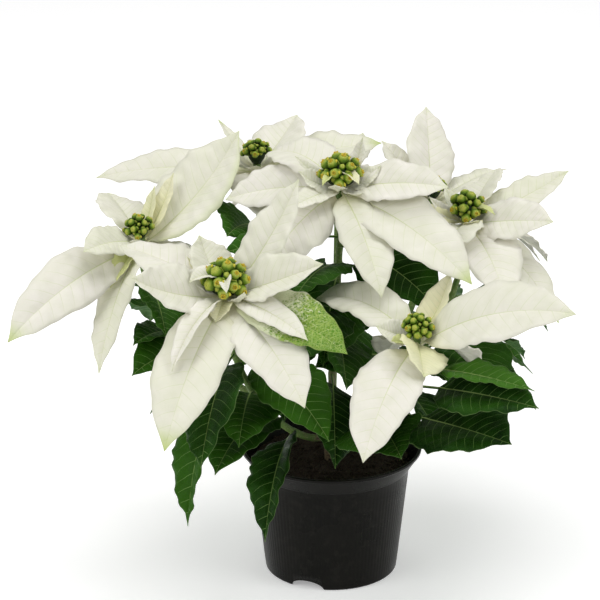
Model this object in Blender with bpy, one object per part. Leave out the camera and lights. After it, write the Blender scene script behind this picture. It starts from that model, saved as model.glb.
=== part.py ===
"""A white poinsettia in a round plastic pot.

The pot stands on z = 0 with its axis on z. A main stem rises from the soil and seven side
stems leave it; the eighth stands on its cut top. Each side stem carries green leaves, then a
short hub with a rosette of white bracts, then a cluster of flower buds. Directions are in
degrees: a heading is measured in plan from +X towards +Y, a rise up from the horizontal.
"""

import math
from collections import namedtuple

import bmesh
import bpy
from mathutils import Quaternion, Vector, noise
from mathutils.bvhtree import BVHTree

MM = 0.001
GAP = 0.3

# The pot, in millimetres.
POT_HEIGHT = 108
RIM_RADIUS = 75
COLLAR_LOW = 91.5
COLLAR_RADIUS = 66
BASE_RADIUS = 55
BASE_ROUNDING = 2.5
WALL = 1.5
COLLAR_WALL = 1.7
FLOOR_LOW = 8
FLOOR_HIGH = 10
FOOT_WIDTH = 4
CENTRE_PAD_RADIUS = 12
POT_SIDES = 30
NOTCH_HEADINGS = (-112, 8, 128)
NOTCH_WIDTH = 29
NOTCH_HEIGHT = 7.5
DRAIN_RADIUS = 4.5
DRAIN_PITCH_RADIUS = 42

# The soil.
SOIL_TOP = 97
SOIL_UNEVEN = 1.6
SOIL_GAP = 0.8
SOIL_SIDES = 18

# The main stem and the side stems.
STEM_FOOT = 62
STEM_TOP = 150
STEM_RADIUS = 6
SIDE_STEM_RADIUS = 3.0
SIDE_STEM_TIP_RADIUS = 2.6
MAIN_STEM_SIDES = 12
STEM_SIDES = 6
STEM_RINGS = 7
SQUARE_END = 0.01

# The hub that each rosette grows from, and the buds on it.
HUB_HEIGHT = 14
HUB_RADIUS = 3.4
BUD_SIDES = 5
BUD_RADIUS = 4.1
BUD_LENGTH = 9
BUD_CENTRE = 8
BUD_SPREAD = 84
BUD_ROOT = 0.3

# Blades: thickness, and the share of the length that is bare stalk.
BLADE_THICKNESS = 0.9
STALK_HALF_WIDTH = 1.1
STALK_THICKNESS = 2.2
TIP_HALF_WIDTH = 0.45
BRACT_STALK = 0.06
LEAF_STALK = 0.22
BRACT_TAPERS = (0.69, 0.86)
LEAF_TAPERS = (0.68, 1.1)
BLADE_STEPS = 24
BRACT_STATIONS = (0, 2, 7, 13, 19, 24)
SMALL_STATIONS = (0, 8, 24)
LEAF_STATIONS = (0, 5, 9, 14, 19, 24)
SMALL_BRACT = 50

# What is tried, in turn, to bend a blade clear of the others: turn and lift in degrees.
CLEARANCE = 0.5
OFFSETS = sorted(
    ((turn, lift) for turn in range(-30, 31, 5) for lift in range(-30, 31, 5)),
    key=lambda pair: (math.hypot(*pair), pair),
)

Bloom = namedtuple("Bloom", "hub stem_height bud_count bud_reach facing lean")
BLOOMS = {
    "a": Bloom((-84, -90, 279), 118, 14, 19, -95, 28),
    "b": Bloom((66, -100, 243), 126, 11, 13, -80, 26),
    "c": Bloom((7, 10, 334), None, 13, 18, -92, 22),
    "d": Bloom((109, 20, 301), 134, 10, 16, -75, 22),
    "e": Bloom((-156, 20, 284), 126, 8, 13, -110, 24),
    "f": Bloom((-62, 90, 324), 140, 8, 13, 110, 6),
    "g": Bloom((85, 110, 286), 118, 6, 12, 50, 18),
    "h": Bloom((6, 150, 292), 130, 6, 12, 90, 18),
}

Blade = namedtuple("Blade", "heading rise droop length width cup roll bend")
BRACTS = {
    "a": (
        Blade(-56, -11, 34, 124, 52, 8, 19, 0),
        Blade(-111, -12, 42, 152, 56, 8, -12, 0),
        Blade(-151, 11, -30, 88, 50, 22, -41, 0),
        Blade(148, 25, 24, 104, 48, 8, -10, 0),
        Blade(117, 21, -30, 60, 42, 15, 7, 0),
        Blade(-14, 22, -4, 84, 44, 25, 40, 0),
        Blade(-43, 5, 30, 88, 25, 10, 25, 0),
        Blade(-34, 3, 30, 116, 48, 8, 29, 0),
        Blade(28, 45, -20, 109, 40, 12, 22, 0),
        Blade(141, 20, -30, 46, 11, 15, -7, 0),
        Blade(-117, 4, 60, 98, 22, 30, 4, 0),
        Blade(90, -5, 50, 84, 44, 10, 0, 0),
        Blade(-104, -16, 10, 34, 20, 20, 0, 0),
        Blade(-172, 18, -50, 36, 20, 25, -30, 0),
        Blade(-70, -22, -100, 34, 14, 20, 0, 0),
        Blade(-10, 0, -40, 34, 16, 20, 0, 0),
    ),
    "b": (
        Blade(-113, -3, 50, 128, 53, 10, -9, 0),
        Blade(147, 45, 70, 102, 44, 12, -20, 0),
        Blade(-22, 41, 45, 140, 58, 6, 37, 0),
        Blade(54, 30, -40, 66, 30, 30, -8, 0),
        Blade(-86, 2, 20, 56, 44, 16, -30, 0),
        Blade(-172, 34, 0, 34, 24, 20, -44, 0),
        Blade(47, 21, -20, 32, 18, 20, -14, 0),
        Blade(-150, 6, -20, 28, 16, 20, -20, 0),
        Blade(110, -5, 50, 80, 42, 10, 0, 0),
        Blade(50, -8, 46, 90, 44, 10, 0, 0),
    ),
    "c": (
        Blade(-133, -8, 44, 110, 54, 8, -27, 0),
        Blade(-71, -12, 40, 114, 44, 10, 0, 0),
        Blade(-39, -4, 34, 142, 54, 8, 25, 0),
        Blade(-21, 20, 24, 92, 40, 12, 39, 0),
        Blade(-8, 12, -44, 38, 20, 20, 40, 0),
        Blade(41, 38, -50, 46, 16, 20, 6, 0),
        Blade(132, 39, 70, 96, 48, 8, -13, 0),
        Blade(167, 24, -20, 44, 10, 20, -34, 0),
        Blade(-160, 8, -40, 40, 24, 20, -40, 0),
        Blade(-133, 7, 20, 60, 22, 12, -19, 0),
        Blade(165, 6, 30, 96, 46, 10, -35, 0),
        Blade(75, 0, 36, 96, 48, 10, 0, 0),
        Blade(-100, -6, -60, 32, 16, 20, 0, 0),
        Blade(-58, -8, -50, 30, 14, 20, 0, 0),
    ),
    "d": (
        Blade(-72, 2, 45, 100, 56, 10, -1, 0),
        Blade(-108, 14, 40, 72, 48, 8, 10, 0),
        Blade(-52, 1, 50, 122, 38, 8, -3, 0),
        Blade(-33, 17, 10, 82, 44, 8, 37, 0),
        Blade(18, 18, -10, 96, 36, 10, 21, 0),
        Blade(66, 30, 20, 74, 44, 10, -29, 0),
        Blade(-169, 22, -36, 38, 12, 20, -49, 0),
        Blade(124, 29, -20, 36, 14, 20, -4, 0),
        Blade(-157, 22, -10, 56, 14, 14, -43, 0),
        Blade(-72, -8, -60, 32, 18, 20, 0, 0),
        Blade(24, -6, 50, 90, 44, 10, 0, 0),
        Blade(110, -8, 46, 86, 44, 10, 0, 0),
    ),
    "e": (
        Blade(-134, 0, 34, 154, 50, 8, -33, 0),
        Blade(-108, -13, 50, 128, 34, 10, 21, 0),
        Blade(-115, -12, 20, 58, 22, 30, 3, 0),
        Blade(-95, -6, -60, 30, 16, 20, 0, 0),
        Blade(-129, 24, 30, 70, 36, 8, -28, 0),
        Blade(117, 31, 24, 70, 54, 10, 16, 0),
        Blade(50, 38, -30, 64, 20, 20, -2, 0),
        Blade(69, 41, -20, 48, 14, 20, -16, 0),
        Blade(33, 22, -30, 126, 66, 14, 17, 0),
        Blade(140, -6, 50, 92, 46, 10, 0, 0),
        Blade(95, -4, 50, 104, 48, 10, 0, 0),
        Blade(50, -8, 46, 84, 42, 10, 0, 0),
    ),
    "f": (
        Blade(-80, 6, 40, 84, 60, 10, 0, 0),
        Blade(21, 16, 20, 112, 46, 10, 16, 0),
        Blade(165, 5, 24, 142, 40, 8, -28, 0),
        Blade(60, 20, -10, 72, 56, 10, -11, 0),
        Blade(117, 18, 0, 76, 16, 12, 20, 0),
        Blade(130, -6, 46, 112, 52, 10, 0, 0),
        Blade(90, -8, 46, 104, 50, 10, 0, 0),
        Blade(-165, 4, -50, 36, 18, 20, 0, 0),
        Blade(-90, -6, -60, 30, 16, 20, 0, 0),
    ),
    "g": (
        Blade(93, 53, 10, 92, 46, 8, 25, 0),
        Blade(42, 23, 30, 90, 30, 10, -9, 0),
        Blade(136, 43, 10, 72, 36, 10, 5, 0),
        Blade(10, -6, 50, 112, 52, 10, 0, 0),
        Blade(58, -6, 48, 128, 54, 10, 0, 0),
        Blade(105, -10, 44, 112, 50, 10, 0, 0),
        Blade(-20, 0, 40, 78, 38, 10, 0, 0),
    ),
    "h": (
        Blade(90, 4, 52, 146, 58, 10, 0, 0),
        Blade(50, 4, 50, 120, 52, 10, 0, 0),
        Blade(132, 4, 50, 126, 54, 10, 0, 0),
        Blade(168, 4, 44, 104, 46, 10, 0, 0),
        Blade(12, 4, 44, 104, 46, 10, 0, 0),
        Blade(70, 26, 10, 70, 34, 14, 0, 0),
        Blade(-60, 18, -10, 50, 24, 14, 0, 0),
    ),
}

# Each leaf: its place along the side stem from 0 to 1, then its blade.
Leaf = namedtuple("Leaf", "place heading rise droop length width cup roll bend")
LEAVES = {
    "a": (
        Leaf(0.26, -102, 22, 90, 140, 48, 22, 33, 0),
        Leaf(0.6, -96, 24, 60, 100, 58, 10, -10, 0),
        Leaf(0.45, -110, 28, 50, 130, 62, 10, 1, 0),
        Leaf(0.8, -102, 5, 60, 132, 62, 10, 29, 0),
        Leaf(0.8, -46, 2, 50, 120, 60, 10, 12, 0),
    ),
    "b": (
        Leaf(0.66, -49, 10, 8, 128, 82, 8, 20, 0),
        Leaf(0.42, -96, 40, 60, 112, 66, 10, 36, 0),
        Leaf(0.4, -64, 34, 40, 100, 60, 10, 21, 0),
        Leaf(0.85, -45, 13, 10, 134, 60, 10, 23, 0),
        Leaf(0.94, -43, 13, 14, 122, 34, 14, 9, 0),
    ),
    "c": (
        Leaf(0.12, -89, 7, 60, 115, 60, 10, -32, 0),
        Leaf(0.34, -118, 20, 60, 130, 62, 10, 24, 0),
        Leaf(0.4, -86, 8, 40, 120, 64, 10, -37, 0),
        Leaf(0.5, -83, 22, 60, 130, 60, 10, -32, 0),
        Leaf(0.6, -140, 20, 50, 120, 66, 10, -20, 0),
        Leaf(0.7, -88, 21, 40, 110, 66, 10, -29, 0),
        Leaf(0.8, -42, 8, 40, 112, 66, 10, 20, 0),
        Leaf(0.84, -135, 22, 20, 112, 38, 10, -21, 0),
        Leaf(0.7, -111, 23, 40, 100, 62, 10, 1, 0),
    ),
    "d": (
        Leaf(0.3, -86, 25, 60, 125, 62, 10, -29, 0),
        Leaf(0.35, -20, 30, 70, 130, 60, 10, 0, 0),
        Leaf(0.6, -66, 15, 56, 114, 70, 10, 4, 0),
        Leaf(0.5, 30, 20, 80, 118, 58, 10, 0, 0),
        Leaf(0.74, 15, 10, 70, 100, 50, 10, 0, 0),
        Leaf(0.45, -149, 27, 40, 112, 62, 10, -26, 0),
    ),
    "e": (
        Leaf(0.35, 160, 20, 80, 105, 56, 10, 0, 0),
        Leaf(0.5, -124, 44, 60, 125, 56, 12, -23, 0),
        Leaf(0.62, -117, 37, 50, 100, 36, 12, -8, 0),
        Leaf(0.7, 100, 10, 80, 100, 54, 10, 0, 0),
        Leaf(0.45, -107, -2, 80, 150, 50, 20, 37, 0),
        Leaf(0.86, -79, 17, 50, 90, 48, 12, -30, 0),
    ),
    "f": (
        Leaf(0.35, -94, 24, 60, 130, 54, 10, 32, 0),
        Leaf(0.35, 130, 20, 80, 140, 62, 10, 0, 0),
        Leaf(0.5, 170, 20, 70, 130, 58, 10, 0, 0),
        Leaf(0.66, 95, 10, 80, 130, 58, 10, 0, 0),
        Leaf(0.8, -107, 36, 40, 100, 54, 10, -29, 0),
    ),
    "g": (
        Leaf(0.35, 40, 20, 80, 140, 62, 10, 0, 0),
        Leaf(0.5, 5, 20, 70, 130, 58, 10, 0, 0),
        Leaf(0.66, 75, 10, 80, 130, 58, 10, 0, 0),
        Leaf(0.8, 25, 5, 60, 115, 50, 10, 0, 0),
    ),
    "h": (
        Leaf(0.35, 90, 20, 80, 140, 62, 10, 0, 0),
        Leaf(0.5, 55, 15, 75, 130, 58, 10, 0, 0),
        Leaf(0.66, 125, 10, 80, 130, 58, 10, 0, 0),
    ),
}

# Colours of the materials, with roughness.
POT_FINISH = ("pot_plastic", (0.012, 0.012, 0.013), 0.42)
SOIL_FINISH = ("peat", (0.03, 0.02, 0.014), 0.95)
STEM_FINISH = ("stem_green", (0.09, 0.16, 0.04), 0.5)
LEAF_FINISH = ("leaf_green", (0.016, 0.09, 0.014), 0.45)
BRACT_FINISH = ("bract_white", (0.83, 0.82, 0.68), 0.55)
BUD_FINISH = ("bud_green", (0.3, 0.42, 0.06), 0.5)


def clear_scene():
    for obj in list(bpy.data.objects):
        bpy.data.objects.remove(obj)


def material(finish):
    name, colour, roughness = finish
    found = bpy.data.materials.get(name) or bpy.data.materials.new(name)
    found.use_nodes = True
    shader = found.node_tree.nodes["Principled BSDF"]
    shader.inputs["Base Color"].default_value = (*colour, 1)
    shader.inputs["Roughness"].default_value = roughness
    return found


def new_object(name, points, faces, finish):
    """An object from points in millimetres."""
    mesh = bpy.data.meshes.new(name)
    mesh.from_pydata([Vector(p) * MM for p in points], [], faces)
    mesh.materials.append(material(finish))
    obj = bpy.data.objects.new(name, mesh)
    bpy.context.scene.collection.objects.link(obj)
    return obj


def fuse(obj, others):
    """Joins the others into obj and removes them."""
    pieces = bpy.data.collections.new(obj.name + "_pieces")
    for other in others:
        for holder in list(other.users_collection):
            holder.objects.unlink(other)
        pieces.objects.link(other)
    bpy.context.scene.collection.children.link(pieces)
    union = obj.modifiers.new("fused", "BOOLEAN")
    union.operation = "UNION"
    union.operand_type = "COLLECTION"
    union.collection = pieces
    union.solver = "MANIFOLD"
    bpy.context.view_layer.update()
    graph = bpy.context.evaluated_depsgraph_get()
    joined = bpy.data.meshes.new_from_object(obj.evaluated_get(graph))
    keep_outer_skin(joined)
    obj.modifiers.clear()
    obj.data = joined
    for other in list(pieces.objects):
        bpy.data.objects.remove(other)
    bpy.data.collections.remove(pieces)


def keep_outer_skin(mesh):
    """Fills the small pockets that crossing blades close off, and drops loose scraps."""
    bm = bmesh.new()
    bm.from_mesh(mesh)
    skins = sorted(islands(bm), key=volume)
    for faces in skins[:-1]:
        verts = list({vert for face in faces for vert in face.verts})
        bmesh.ops.delete(bm, geom=verts, context="VERTS")
    bm.to_mesh(mesh)
    bm.free()


def volume(faces):
    """Six times the volume inside a closed skin, negative for a pocket."""
    total = 0
    for face in faces:
        first, *rest = [vert.co for vert in face.verts]
        for second, third in zip(rest, rest[1:]):
            total += first.dot(second.cross(third))
    return total


def islands(bm):
    """The faces of each separate closed skin."""
    left = set(bm.faces)
    found = []
    while left:
        waiting = [left.pop()]
        faces = list(waiting)
        while waiting:
            face = waiting.pop()
            for edge in face.edges:
                for other in edge.link_faces:
                    if other in left:
                        left.remove(other)
                        waiting.append(other)
                        faces.append(other)
        found.append(faces)
    return found


# Turned and swept shapes.


def ring(radius, height, sides, centre=(0, 0)):
    points = []
    for i in range(sides):
        angle = 2 * math.pi * i / sides
        points.append(
            (
                centre[0] + radius * math.cos(angle),
                centre[1] + radius * math.sin(angle),
                height,
            )
        )
    return points


def turned(profile, sides):
    """Points and faces of a solid turned about z.

    The profile runs from the axis at the bottom, up its outer side, to the axis at the top.
    """
    points = [(0, 0, profile[0][1])]
    for radius, height in profile[1:-1]:
        points += ring(radius, height, sides)
    points.append((0, 0, profile[-1][1]))
    faces = []
    for i in range(sides):
        j = (i + 1) % sides
        faces.append((0, 1 + j, 1 + i))
        for k in range(len(profile) - 3):
            low = 1 + k * sides
            high = low + sides
            faces.append((low + i, low + j, high + j, high + i))
        last = 1 + (len(profile) - 3) * sides
        faces.append((last + i, last + j, len(points) - 1))
    return points, faces


def arc(centre, radius, start, end, steps):
    """Points of an arc in the plane of a profile, from start to end in degrees."""
    points = []
    for i in range(steps + 1):
        angle = math.radians(start + (end - start) * i / steps)
        points.append(
            (centre[0] + radius * math.cos(angle), centre[1] + radius * math.sin(angle))
        )
    return points


def wall_radius(height):
    """Outer radius of the pot's wall under its collar."""
    share = (height - BASE_ROUNDING) / (COLLAR_LOW - BASE_ROUNDING)
    return BASE_RADIUS + (COLLAR_RADIUS - 1.2 - BASE_RADIUS) * share


def make_pot():
    foot_inner = BASE_RADIUS - FOOT_WIDTH
    rounding = arc(
        (BASE_RADIUS - BASE_ROUNDING, BASE_ROUNDING), BASE_ROUNDING, -90, 0, 3
    )
    inner_low = wall_radius(FLOOR_HIGH) - WALL
    profile = [(0, 0), (CENTRE_PAD_RADIUS, 0), (CENTRE_PAD_RADIUS + 2, FLOOR_LOW)]
    profile += [(foot_inner, FLOOR_LOW), (foot_inner, 0)]
    profile += rounding
    profile += [
        (wall_radius(COLLAR_LOW), COLLAR_LOW),
        (COLLAR_RADIUS, COLLAR_LOW + 1),
        (RIM_RADIUS - 1.2, POT_HEIGHT - 3.5),
        (RIM_RADIUS, POT_HEIGHT - 2.5),
        (RIM_RADIUS, POT_HEIGHT - 0.8),
        (RIM_RADIUS - 0.8, POT_HEIGHT),
        (RIM_RADIUS - 1.8, POT_HEIGHT),
        (RIM_RADIUS - 3.2, POT_HEIGHT - 3),
        (COLLAR_RADIUS - COLLAR_WALL, COLLAR_LOW + 1),
        (wall_radius(COLLAR_LOW) - WALL, COLLAR_LOW - 1),
        (inner_low, FLOOR_HIGH),
        (0, FLOOR_HIGH),
    ]
    points, faces = turned(profile, POT_SIDES)
    pot = new_object("pot", points, faces, POT_FINISH)
    for heading in NOTCH_HEADINGS:
        cut_away(pot, notch_cutter(heading))
        cut_away(pot, drain_cutter(heading))
    return pot


def cut_away(obj, cutter):
    cut = obj.modifiers.new(cutter.name, "BOOLEAN")
    cut.operation = "DIFFERENCE"
    cut.object = cutter
    cutter.hide_render = True
    cutter.display_type = "WIRE"


def notch_cutter(heading):
    """A flat oval bar through the foot, crosswise to its radius."""
    bm = bmesh.new()
    bmesh.ops.create_cone(
        bm,
        cap_ends=True,
        segments=16,
        radius1=NOTCH_WIDTH / 2 * MM,
        radius2=NOTCH_WIDTH / 2 * MM,
        depth=20 * MM,
    )
    squash = NOTCH_HEIGHT / (NOTCH_WIDTH / 2)
    for vert in bm.verts:
        x, y, z = vert.co
        vert.co = (z, x, y * squash)
    return cutter_object(f"notch_{heading}", bm, BASE_RADIUS, heading)


def drain_cutter(heading):
    bm = bmesh.new()
    bmesh.ops.create_cone(
        bm,
        cap_ends=True,
        segments=8,
        radius1=DRAIN_RADIUS * MM,
        radius2=DRAIN_RADIUS * MM,
        depth=8 * MM,
    )
    cutter = cutter_object(f"drain_{heading}", bm, DRAIN_PITCH_RADIUS, heading)
    cutter.location.z = (FLOOR_LOW + FLOOR_HIGH) / 2 * MM
    return cutter


def cutter_object(name, bm, radius, heading):
    mesh = bpy.data.meshes.new(name)
    bm.to_mesh(mesh)
    bm.free()
    obj = bpy.data.objects.new(name, mesh)
    angle = math.radians(heading)
    obj.location = (radius * math.cos(angle) * MM, radius * math.sin(angle) * MM, 0)
    obj.rotation_euler.z = angle
    bpy.context.scene.collection.objects.link(obj)
    return obj


def make_soil():
    """Peat that fills the pot, with an uneven top and a plain hole for the main stem."""
    hole = STEM_RADIUS + GAP
    edge = COLLAR_RADIUS - COLLAR_WALL - SOIL_GAP
    profile = [
        (0, FLOOR_HIGH + GAP),
        (wall_radius(FLOOR_HIGH) - WALL - SOIL_GAP, FLOOR_HIGH + GAP),
        (wall_radius(COLLAR_LOW) - WALL - SOIL_GAP, COLLAR_LOW - 1),
        (edge, COLLAR_LOW + 1),
        (edge + 1, SOIL_TOP - 2.5),
        (edge * 0.82, SOIL_TOP),
        (edge * 0.6, SOIL_TOP),
        (edge * 0.36, SOIL_TOP),
        (hole, SOIL_TOP),
        (hole, STEM_FOOT - GAP),
        (0, STEM_FOOT - GAP),
    ]
    points, faces = turned(profile, SOIL_SIDES)
    for index, (x, y, z) in enumerate(points):
        if z == SOIL_TOP and math.hypot(x, y) > hole + 1:
            lift = noise.noise(Vector((x, y, 0)) / 11) * 2 * SOIL_UNEVEN
            points[index] = (x, y, z + lift)
    return new_object("soil", points, faces, SOIL_FINISH)


def tube(centres, radii, sides):
    """Points and faces of a closed tube along the centres."""
    points = []
    across = Vector((0, 0, 1)).cross(Vector(centres[1]) - Vector(centres[0]))
    if across.length < 1e-6:
        across = Vector((1, 0, 0))
    for i, centre in enumerate(centres):
        before = Vector(centres[max(i - 1, 0)])
        after = Vector(centres[min(i + 1, len(centres) - 1)])
        along = (after - before).normalized()
        across = (across - along * across.dot(along)).normalized()
        third = along.cross(across)
        for k in range(sides):
            angle = 2 * math.pi * (k + 0.5) / sides
            offset = across * math.cos(angle) + third * math.sin(angle)
            points.append(Vector(centre) + offset * radii[i])
    faces = [tuple(reversed(range(sides)))]
    for i in range(len(centres) - 1):
        for k in range(sides):
            nxt = (k + 1) % sides
            low = i * sides
            faces.append((low + k, low + nxt, low + sides + nxt, low + sides + k))
    last = (len(centres) - 1) * sides
    faces.append(tuple(range(last, last + sides)))
    return points, faces


def make_main_stem():
    centres = [(0, 0, STEM_FOOT), (0, 0, STEM_TOP)]
    points, faces = tube(centres, [STEM_RADIUS, STEM_RADIUS], MAIN_STEM_SIDES)
    return new_object("main_stem", points, faces, STEM_FINISH)


def side_stem_point(bloom, place):
    """Centre of a side stem: a Bezier curve from the main stem to under the hub."""
    hub = Vector(bloom.hub)
    end = hub - Vector((0, 0, HUB_HEIGHT + GAP))
    if bloom.stem_height is None:
        start = Vector((0, 0, STEM_TOP + GAP))
        first = start + Vector((0, 0, 60))
    else:
        out = Vector((hub.x, hub.y, 0)).normalized()
        start = out * (STEM_RADIUS + GAP) + Vector((0, 0, bloom.stem_height))
        first = start + out * 40
    second = end - Vector((0, 0, 70))
    rest = 1 - place
    return (
        start * rest**3
        + first * (3 * rest * rest * place)
        + second * (3 * rest * place * place)
        + end * place**3
    )


def side_stem(bloom):
    """A tube whose two ends are cut square to the curve."""
    centres = []
    radii = []
    places = [i / (STEM_RINGS - 1) for i in range(STEM_RINGS)]
    for place in [0, SQUARE_END] + places[1:-1] + [1 - SQUARE_END, 1]:
        centres.append(side_stem_point(bloom, place))
        slimming = (SIDE_STEM_RADIUS - SIDE_STEM_TIP_RADIUS) * place
        radii.append(SIDE_STEM_RADIUS - slimming)
    return tube(centres, radii, STEM_SIDES)


# Blades.


def blade_outline(share, stalk):
    """Half width, as a share of the widest, along the flat part from 0 to 1."""
    base, tip = LEAF_TAPERS if stalk == LEAF_STALK else BRACT_TAPERS
    widest = base / (base + tip)
    if share <= 0 or share >= 1:
        return 0
    return (share / widest) ** base * ((1 - share) / (1 - widest)) ** tip


def blade_frames(root, blade):
    """Centre, along, side and up at each step of an evenly bent blade."""
    centre = Vector(root)
    frames = []
    step = blade.length / BLADE_STEPS
    roll = math.radians(blade.roll)
    for i in range(BLADE_STEPS + 1):
        share = i / BLADE_STEPS
        pitch = math.radians(blade.rise - blade.droop * share)
        heading = math.radians(blade.heading + blade.bend * share)
        along = Vector(
            (
                math.cos(pitch) * math.cos(heading),
                math.cos(pitch) * math.sin(heading),
                math.sin(pitch),
            )
        )
        level = Vector((-math.sin(heading), math.cos(heading), 0))
        upright = along.cross(level)
        side = level * math.cos(roll) + upright * math.sin(roll)
        frames.append((centre.copy(), along, side, along.cross(side)))
        centre += along * step
    return frames


def blade_mesh(root, blade, stalk, stations, spare=0):
    """Points and faces of a blade; spare thickens it all round."""
    frames = blade_frames(root, blade)
    cup = math.radians(blade.cup)
    points = []
    for index in stations:
        centre, along, side, up = frames[index]
        share = (index / BLADE_STEPS - stalk) / (1 - stalk)
        half = max(blade_outline(share, stalk) * blade.width / 2, TIP_HALF_WIDTH)
        thick = BLADE_THICKNESS
        if share <= 0:
            half = STALK_HALF_WIDTH
            thick = STALK_THICKNESS
        half += spare
        out = side * half * math.cos(cup)
        raised = up * half * math.sin(cup)
        rise = up * (thick / 2 + spare)
        for lift in (rise, -rise):
            points += [centre + out + raised + lift, centre + lift]
            points.append(centre - out + raised + lift)
    return points, blade_faces(len(stations))


def blade_faces(count):
    """Triangles between sections of six points, split alike on both faces."""
    faces = [(0, 3, 4, 1), (1, 4, 5, 2)]
    for i in range(count - 1):
        a = 6 * i
        b = a + 6
        faces += [(a, a + 1, b + 1), (a, b + 1, b)]
        faces += [(a + 1, a + 2, b + 1), (a + 2, b + 2, b + 1)]
        faces += [(a + 3, b + 4, a + 4), (a + 3, b + 3, b + 4)]
        faces += [(a + 4, b + 4, a + 5), (a + 5, b + 4, b + 5)]
        faces += [(a, b, b + 3, a + 3), (a + 2, a + 5, b + 5, b + 2)]
    end = 6 * (count - 1)
    faces += [(end, end + 1, end + 4, end + 3), (end + 1, end + 2, end + 5, end + 4)]
    return faces


class Obstacles:
    """The solids placed so far, and apart from them the outer ends of the blades."""

    def __init__(self):
        self.solids = []
        self.tips = []

    def add(self, node, shape):
        self.solids.append((node, *box_of(shape[0]), tree_of(shape)))

    def add_tip(self, node, shape):
        self.tips.append((node, *box_of(shape[0]), tree_of(shape)))

    def meets_others(self, node, shape):
        return meets(shape, [solid for solid in self.solids if solid[0] != node])

    def meets_own_tips(self, node, shape):
        return meets(shape, [tip for tip in self.tips if tip[0] == node])


def tree_of(shape):
    points, faces = shape
    return BVHTree.FromPolygons([Vector(p) for p in points], faces)


def meets(shape, items):
    low, high = box_of(shape[0])
    tree = None
    for _, other_low, other_high, other in items:
        if any(low[k] > other_high[k] or high[k] < other_low[k] for k in range(3)):
            continue
        tree = tree or tree_of(shape)
        if tree.overlap(other):
            return True
    return False


def box_of(points):
    low = [min(p[k] for p in points) for k in range(3)]
    high = [max(p[k] for p in points) for k in range(3)]
    return low, high


def place_blade(node, root, blade, stalk, stations, obstacles):
    """The blade's mesh, bent clear of other nodes and, where it can be, of its own."""
    outer = [index for index in stations if index >= BLADE_STEPS * 0.3]
    for need_own in (True, False):
        for turn, lift in OFFSETS:
            bent = blade._replace(
                heading=blade.heading + turn, rise=blade.rise + lift
            )
            wide = blade_mesh(root, bent, stalk, stations, CLEARANCE)
            wide_tip = blade_mesh(root, bent, stalk, outer, CLEARANCE)
            if obstacles.meets_others(node, wide):
                continue
            if need_own and obstacles.meets_own_tips(node, wide_tip):
                continue
            shape = blade_mesh(root, bent, stalk, stations)
            obstacles.add(node, shape)
            obstacles.add_tip(node, blade_mesh(root, bent, stalk, outer))
            return shape
    return None


def make_blades(node, parts, finish):
    made = []
    for number, (points, faces) in enumerate(parts):
        made.append(new_object(f"{node}_blade_{number}", points, faces, finish))
    return made


def hub_shape(bloom):
    x, y, z = bloom.hub
    low = ring(SIDE_STEM_TIP_RADIUS + 0.4, z - HUB_HEIGHT, STEM_SIDES, (x, y))
    high = ring(HUB_RADIUS, z, STEM_SIDES, (x, y))
    faces = [tuple(reversed(range(STEM_SIDES)))]
    for i in range(STEM_SIDES):
        j = (i + 1) % STEM_SIDES
        faces.append((i, j, STEM_SIDES + j, STEM_SIDES + i))
    faces.append(tuple(range(STEM_SIDES, 2 * STEM_SIDES)))
    return low + high, faces


def bract_root(bloom, blade):
    """Longer bracts leave the hub lower down."""
    depth = 2 + 7 * min(blade.length / 160, 1)
    angle = math.radians(blade.heading)
    x, y, z = bloom.hub
    return (x + 1.6 * math.cos(angle), y + 1.6 * math.sin(angle), z - depth)


def cluster_turn(bloom):
    """The rotation that leans a cluster of buds the way its bloom faces."""
    facing = math.radians(bloom.facing)
    hinge = Vector((-math.sin(facing), math.cos(facing), 0))
    return Quaternion(hinge, math.radians(bloom.lean))


def bud_core(bloom):
    """The knot of stalks in the middle of a cluster."""
    inner = bloom.bud_reach - BUD_LENGTH * 0.62
    foot = GAP + HUB_RADIUS * math.sin(math.radians(bloom.lean))
    profile = [
        (0, foot),
        (HUB_RADIUS, foot),
        (inner, BUD_CENTRE),
        (inner * 0.7, BUD_CENTRE + inner * 0.7),
        (0, BUD_CENTRE + inner),
    ]
    points, faces = turned(profile, BUD_SIDES + 1)
    turn = cluster_turn(bloom)
    return [Vector(bloom.hub) + turn @ Vector(point) for point in points], faces


def bud(bloom, number):
    """One bud of a cluster: an egg on its end, pointing away from the middle."""
    angle = math.radians(137.5) * number
    polar = math.radians(BUD_SPREAD) * math.sqrt((number + 0.4) / bloom.bud_count)
    axis = Vector(
        (
            math.sin(polar) * math.cos(angle),
            math.sin(polar) * math.sin(angle),
            math.cos(polar),
        )
    )
    turn = cluster_turn(bloom)
    axis = turn @ axis
    middle = Vector(bloom.hub) + turn @ Vector((0, 0, BUD_CENTRE))
    size = 1 - 0.1 * (number % 3)
    tip = middle + axis * bloom.bud_reach
    across = axis.cross(Vector((0.3, 0.2, 1))).normalized()
    third = axis.cross(across)
    points = [middle + axis * bloom.bud_reach * BUD_ROOT]
    for radius, depth in ((0.78, 0.65), (0.9, 0.2)):
        for k in range(BUD_SIDES):
            spin = 2 * math.pi * k / BUD_SIDES
            offset = across * math.cos(spin) + third * math.sin(spin)
            offset *= radius * BUD_RADIUS * size
            points.append(tip + offset - axis * depth * BUD_LENGTH * size)
    points.append(tip)
    faces = []
    for k in range(BUD_SIDES):
        nxt = (k + 1) % BUD_SIDES
        low = 1 + k
        low_next = 1 + nxt
        faces.append((0, low_next, low))
        faces.append((low, low_next, low_next + BUD_SIDES, low + BUD_SIDES))
        faces.append((low + BUD_SIDES, low_next + BUD_SIDES, len(points) - 1))
    return points, faces


def in_turn(tables):
    """The first row of every bloom, then the second of every bloom, and so on."""
    for number in range(max(len(rows) for rows in tables.values())):
        for key, rows in tables.items():
            if number < len(rows):
                yield key, rows[number]


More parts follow.
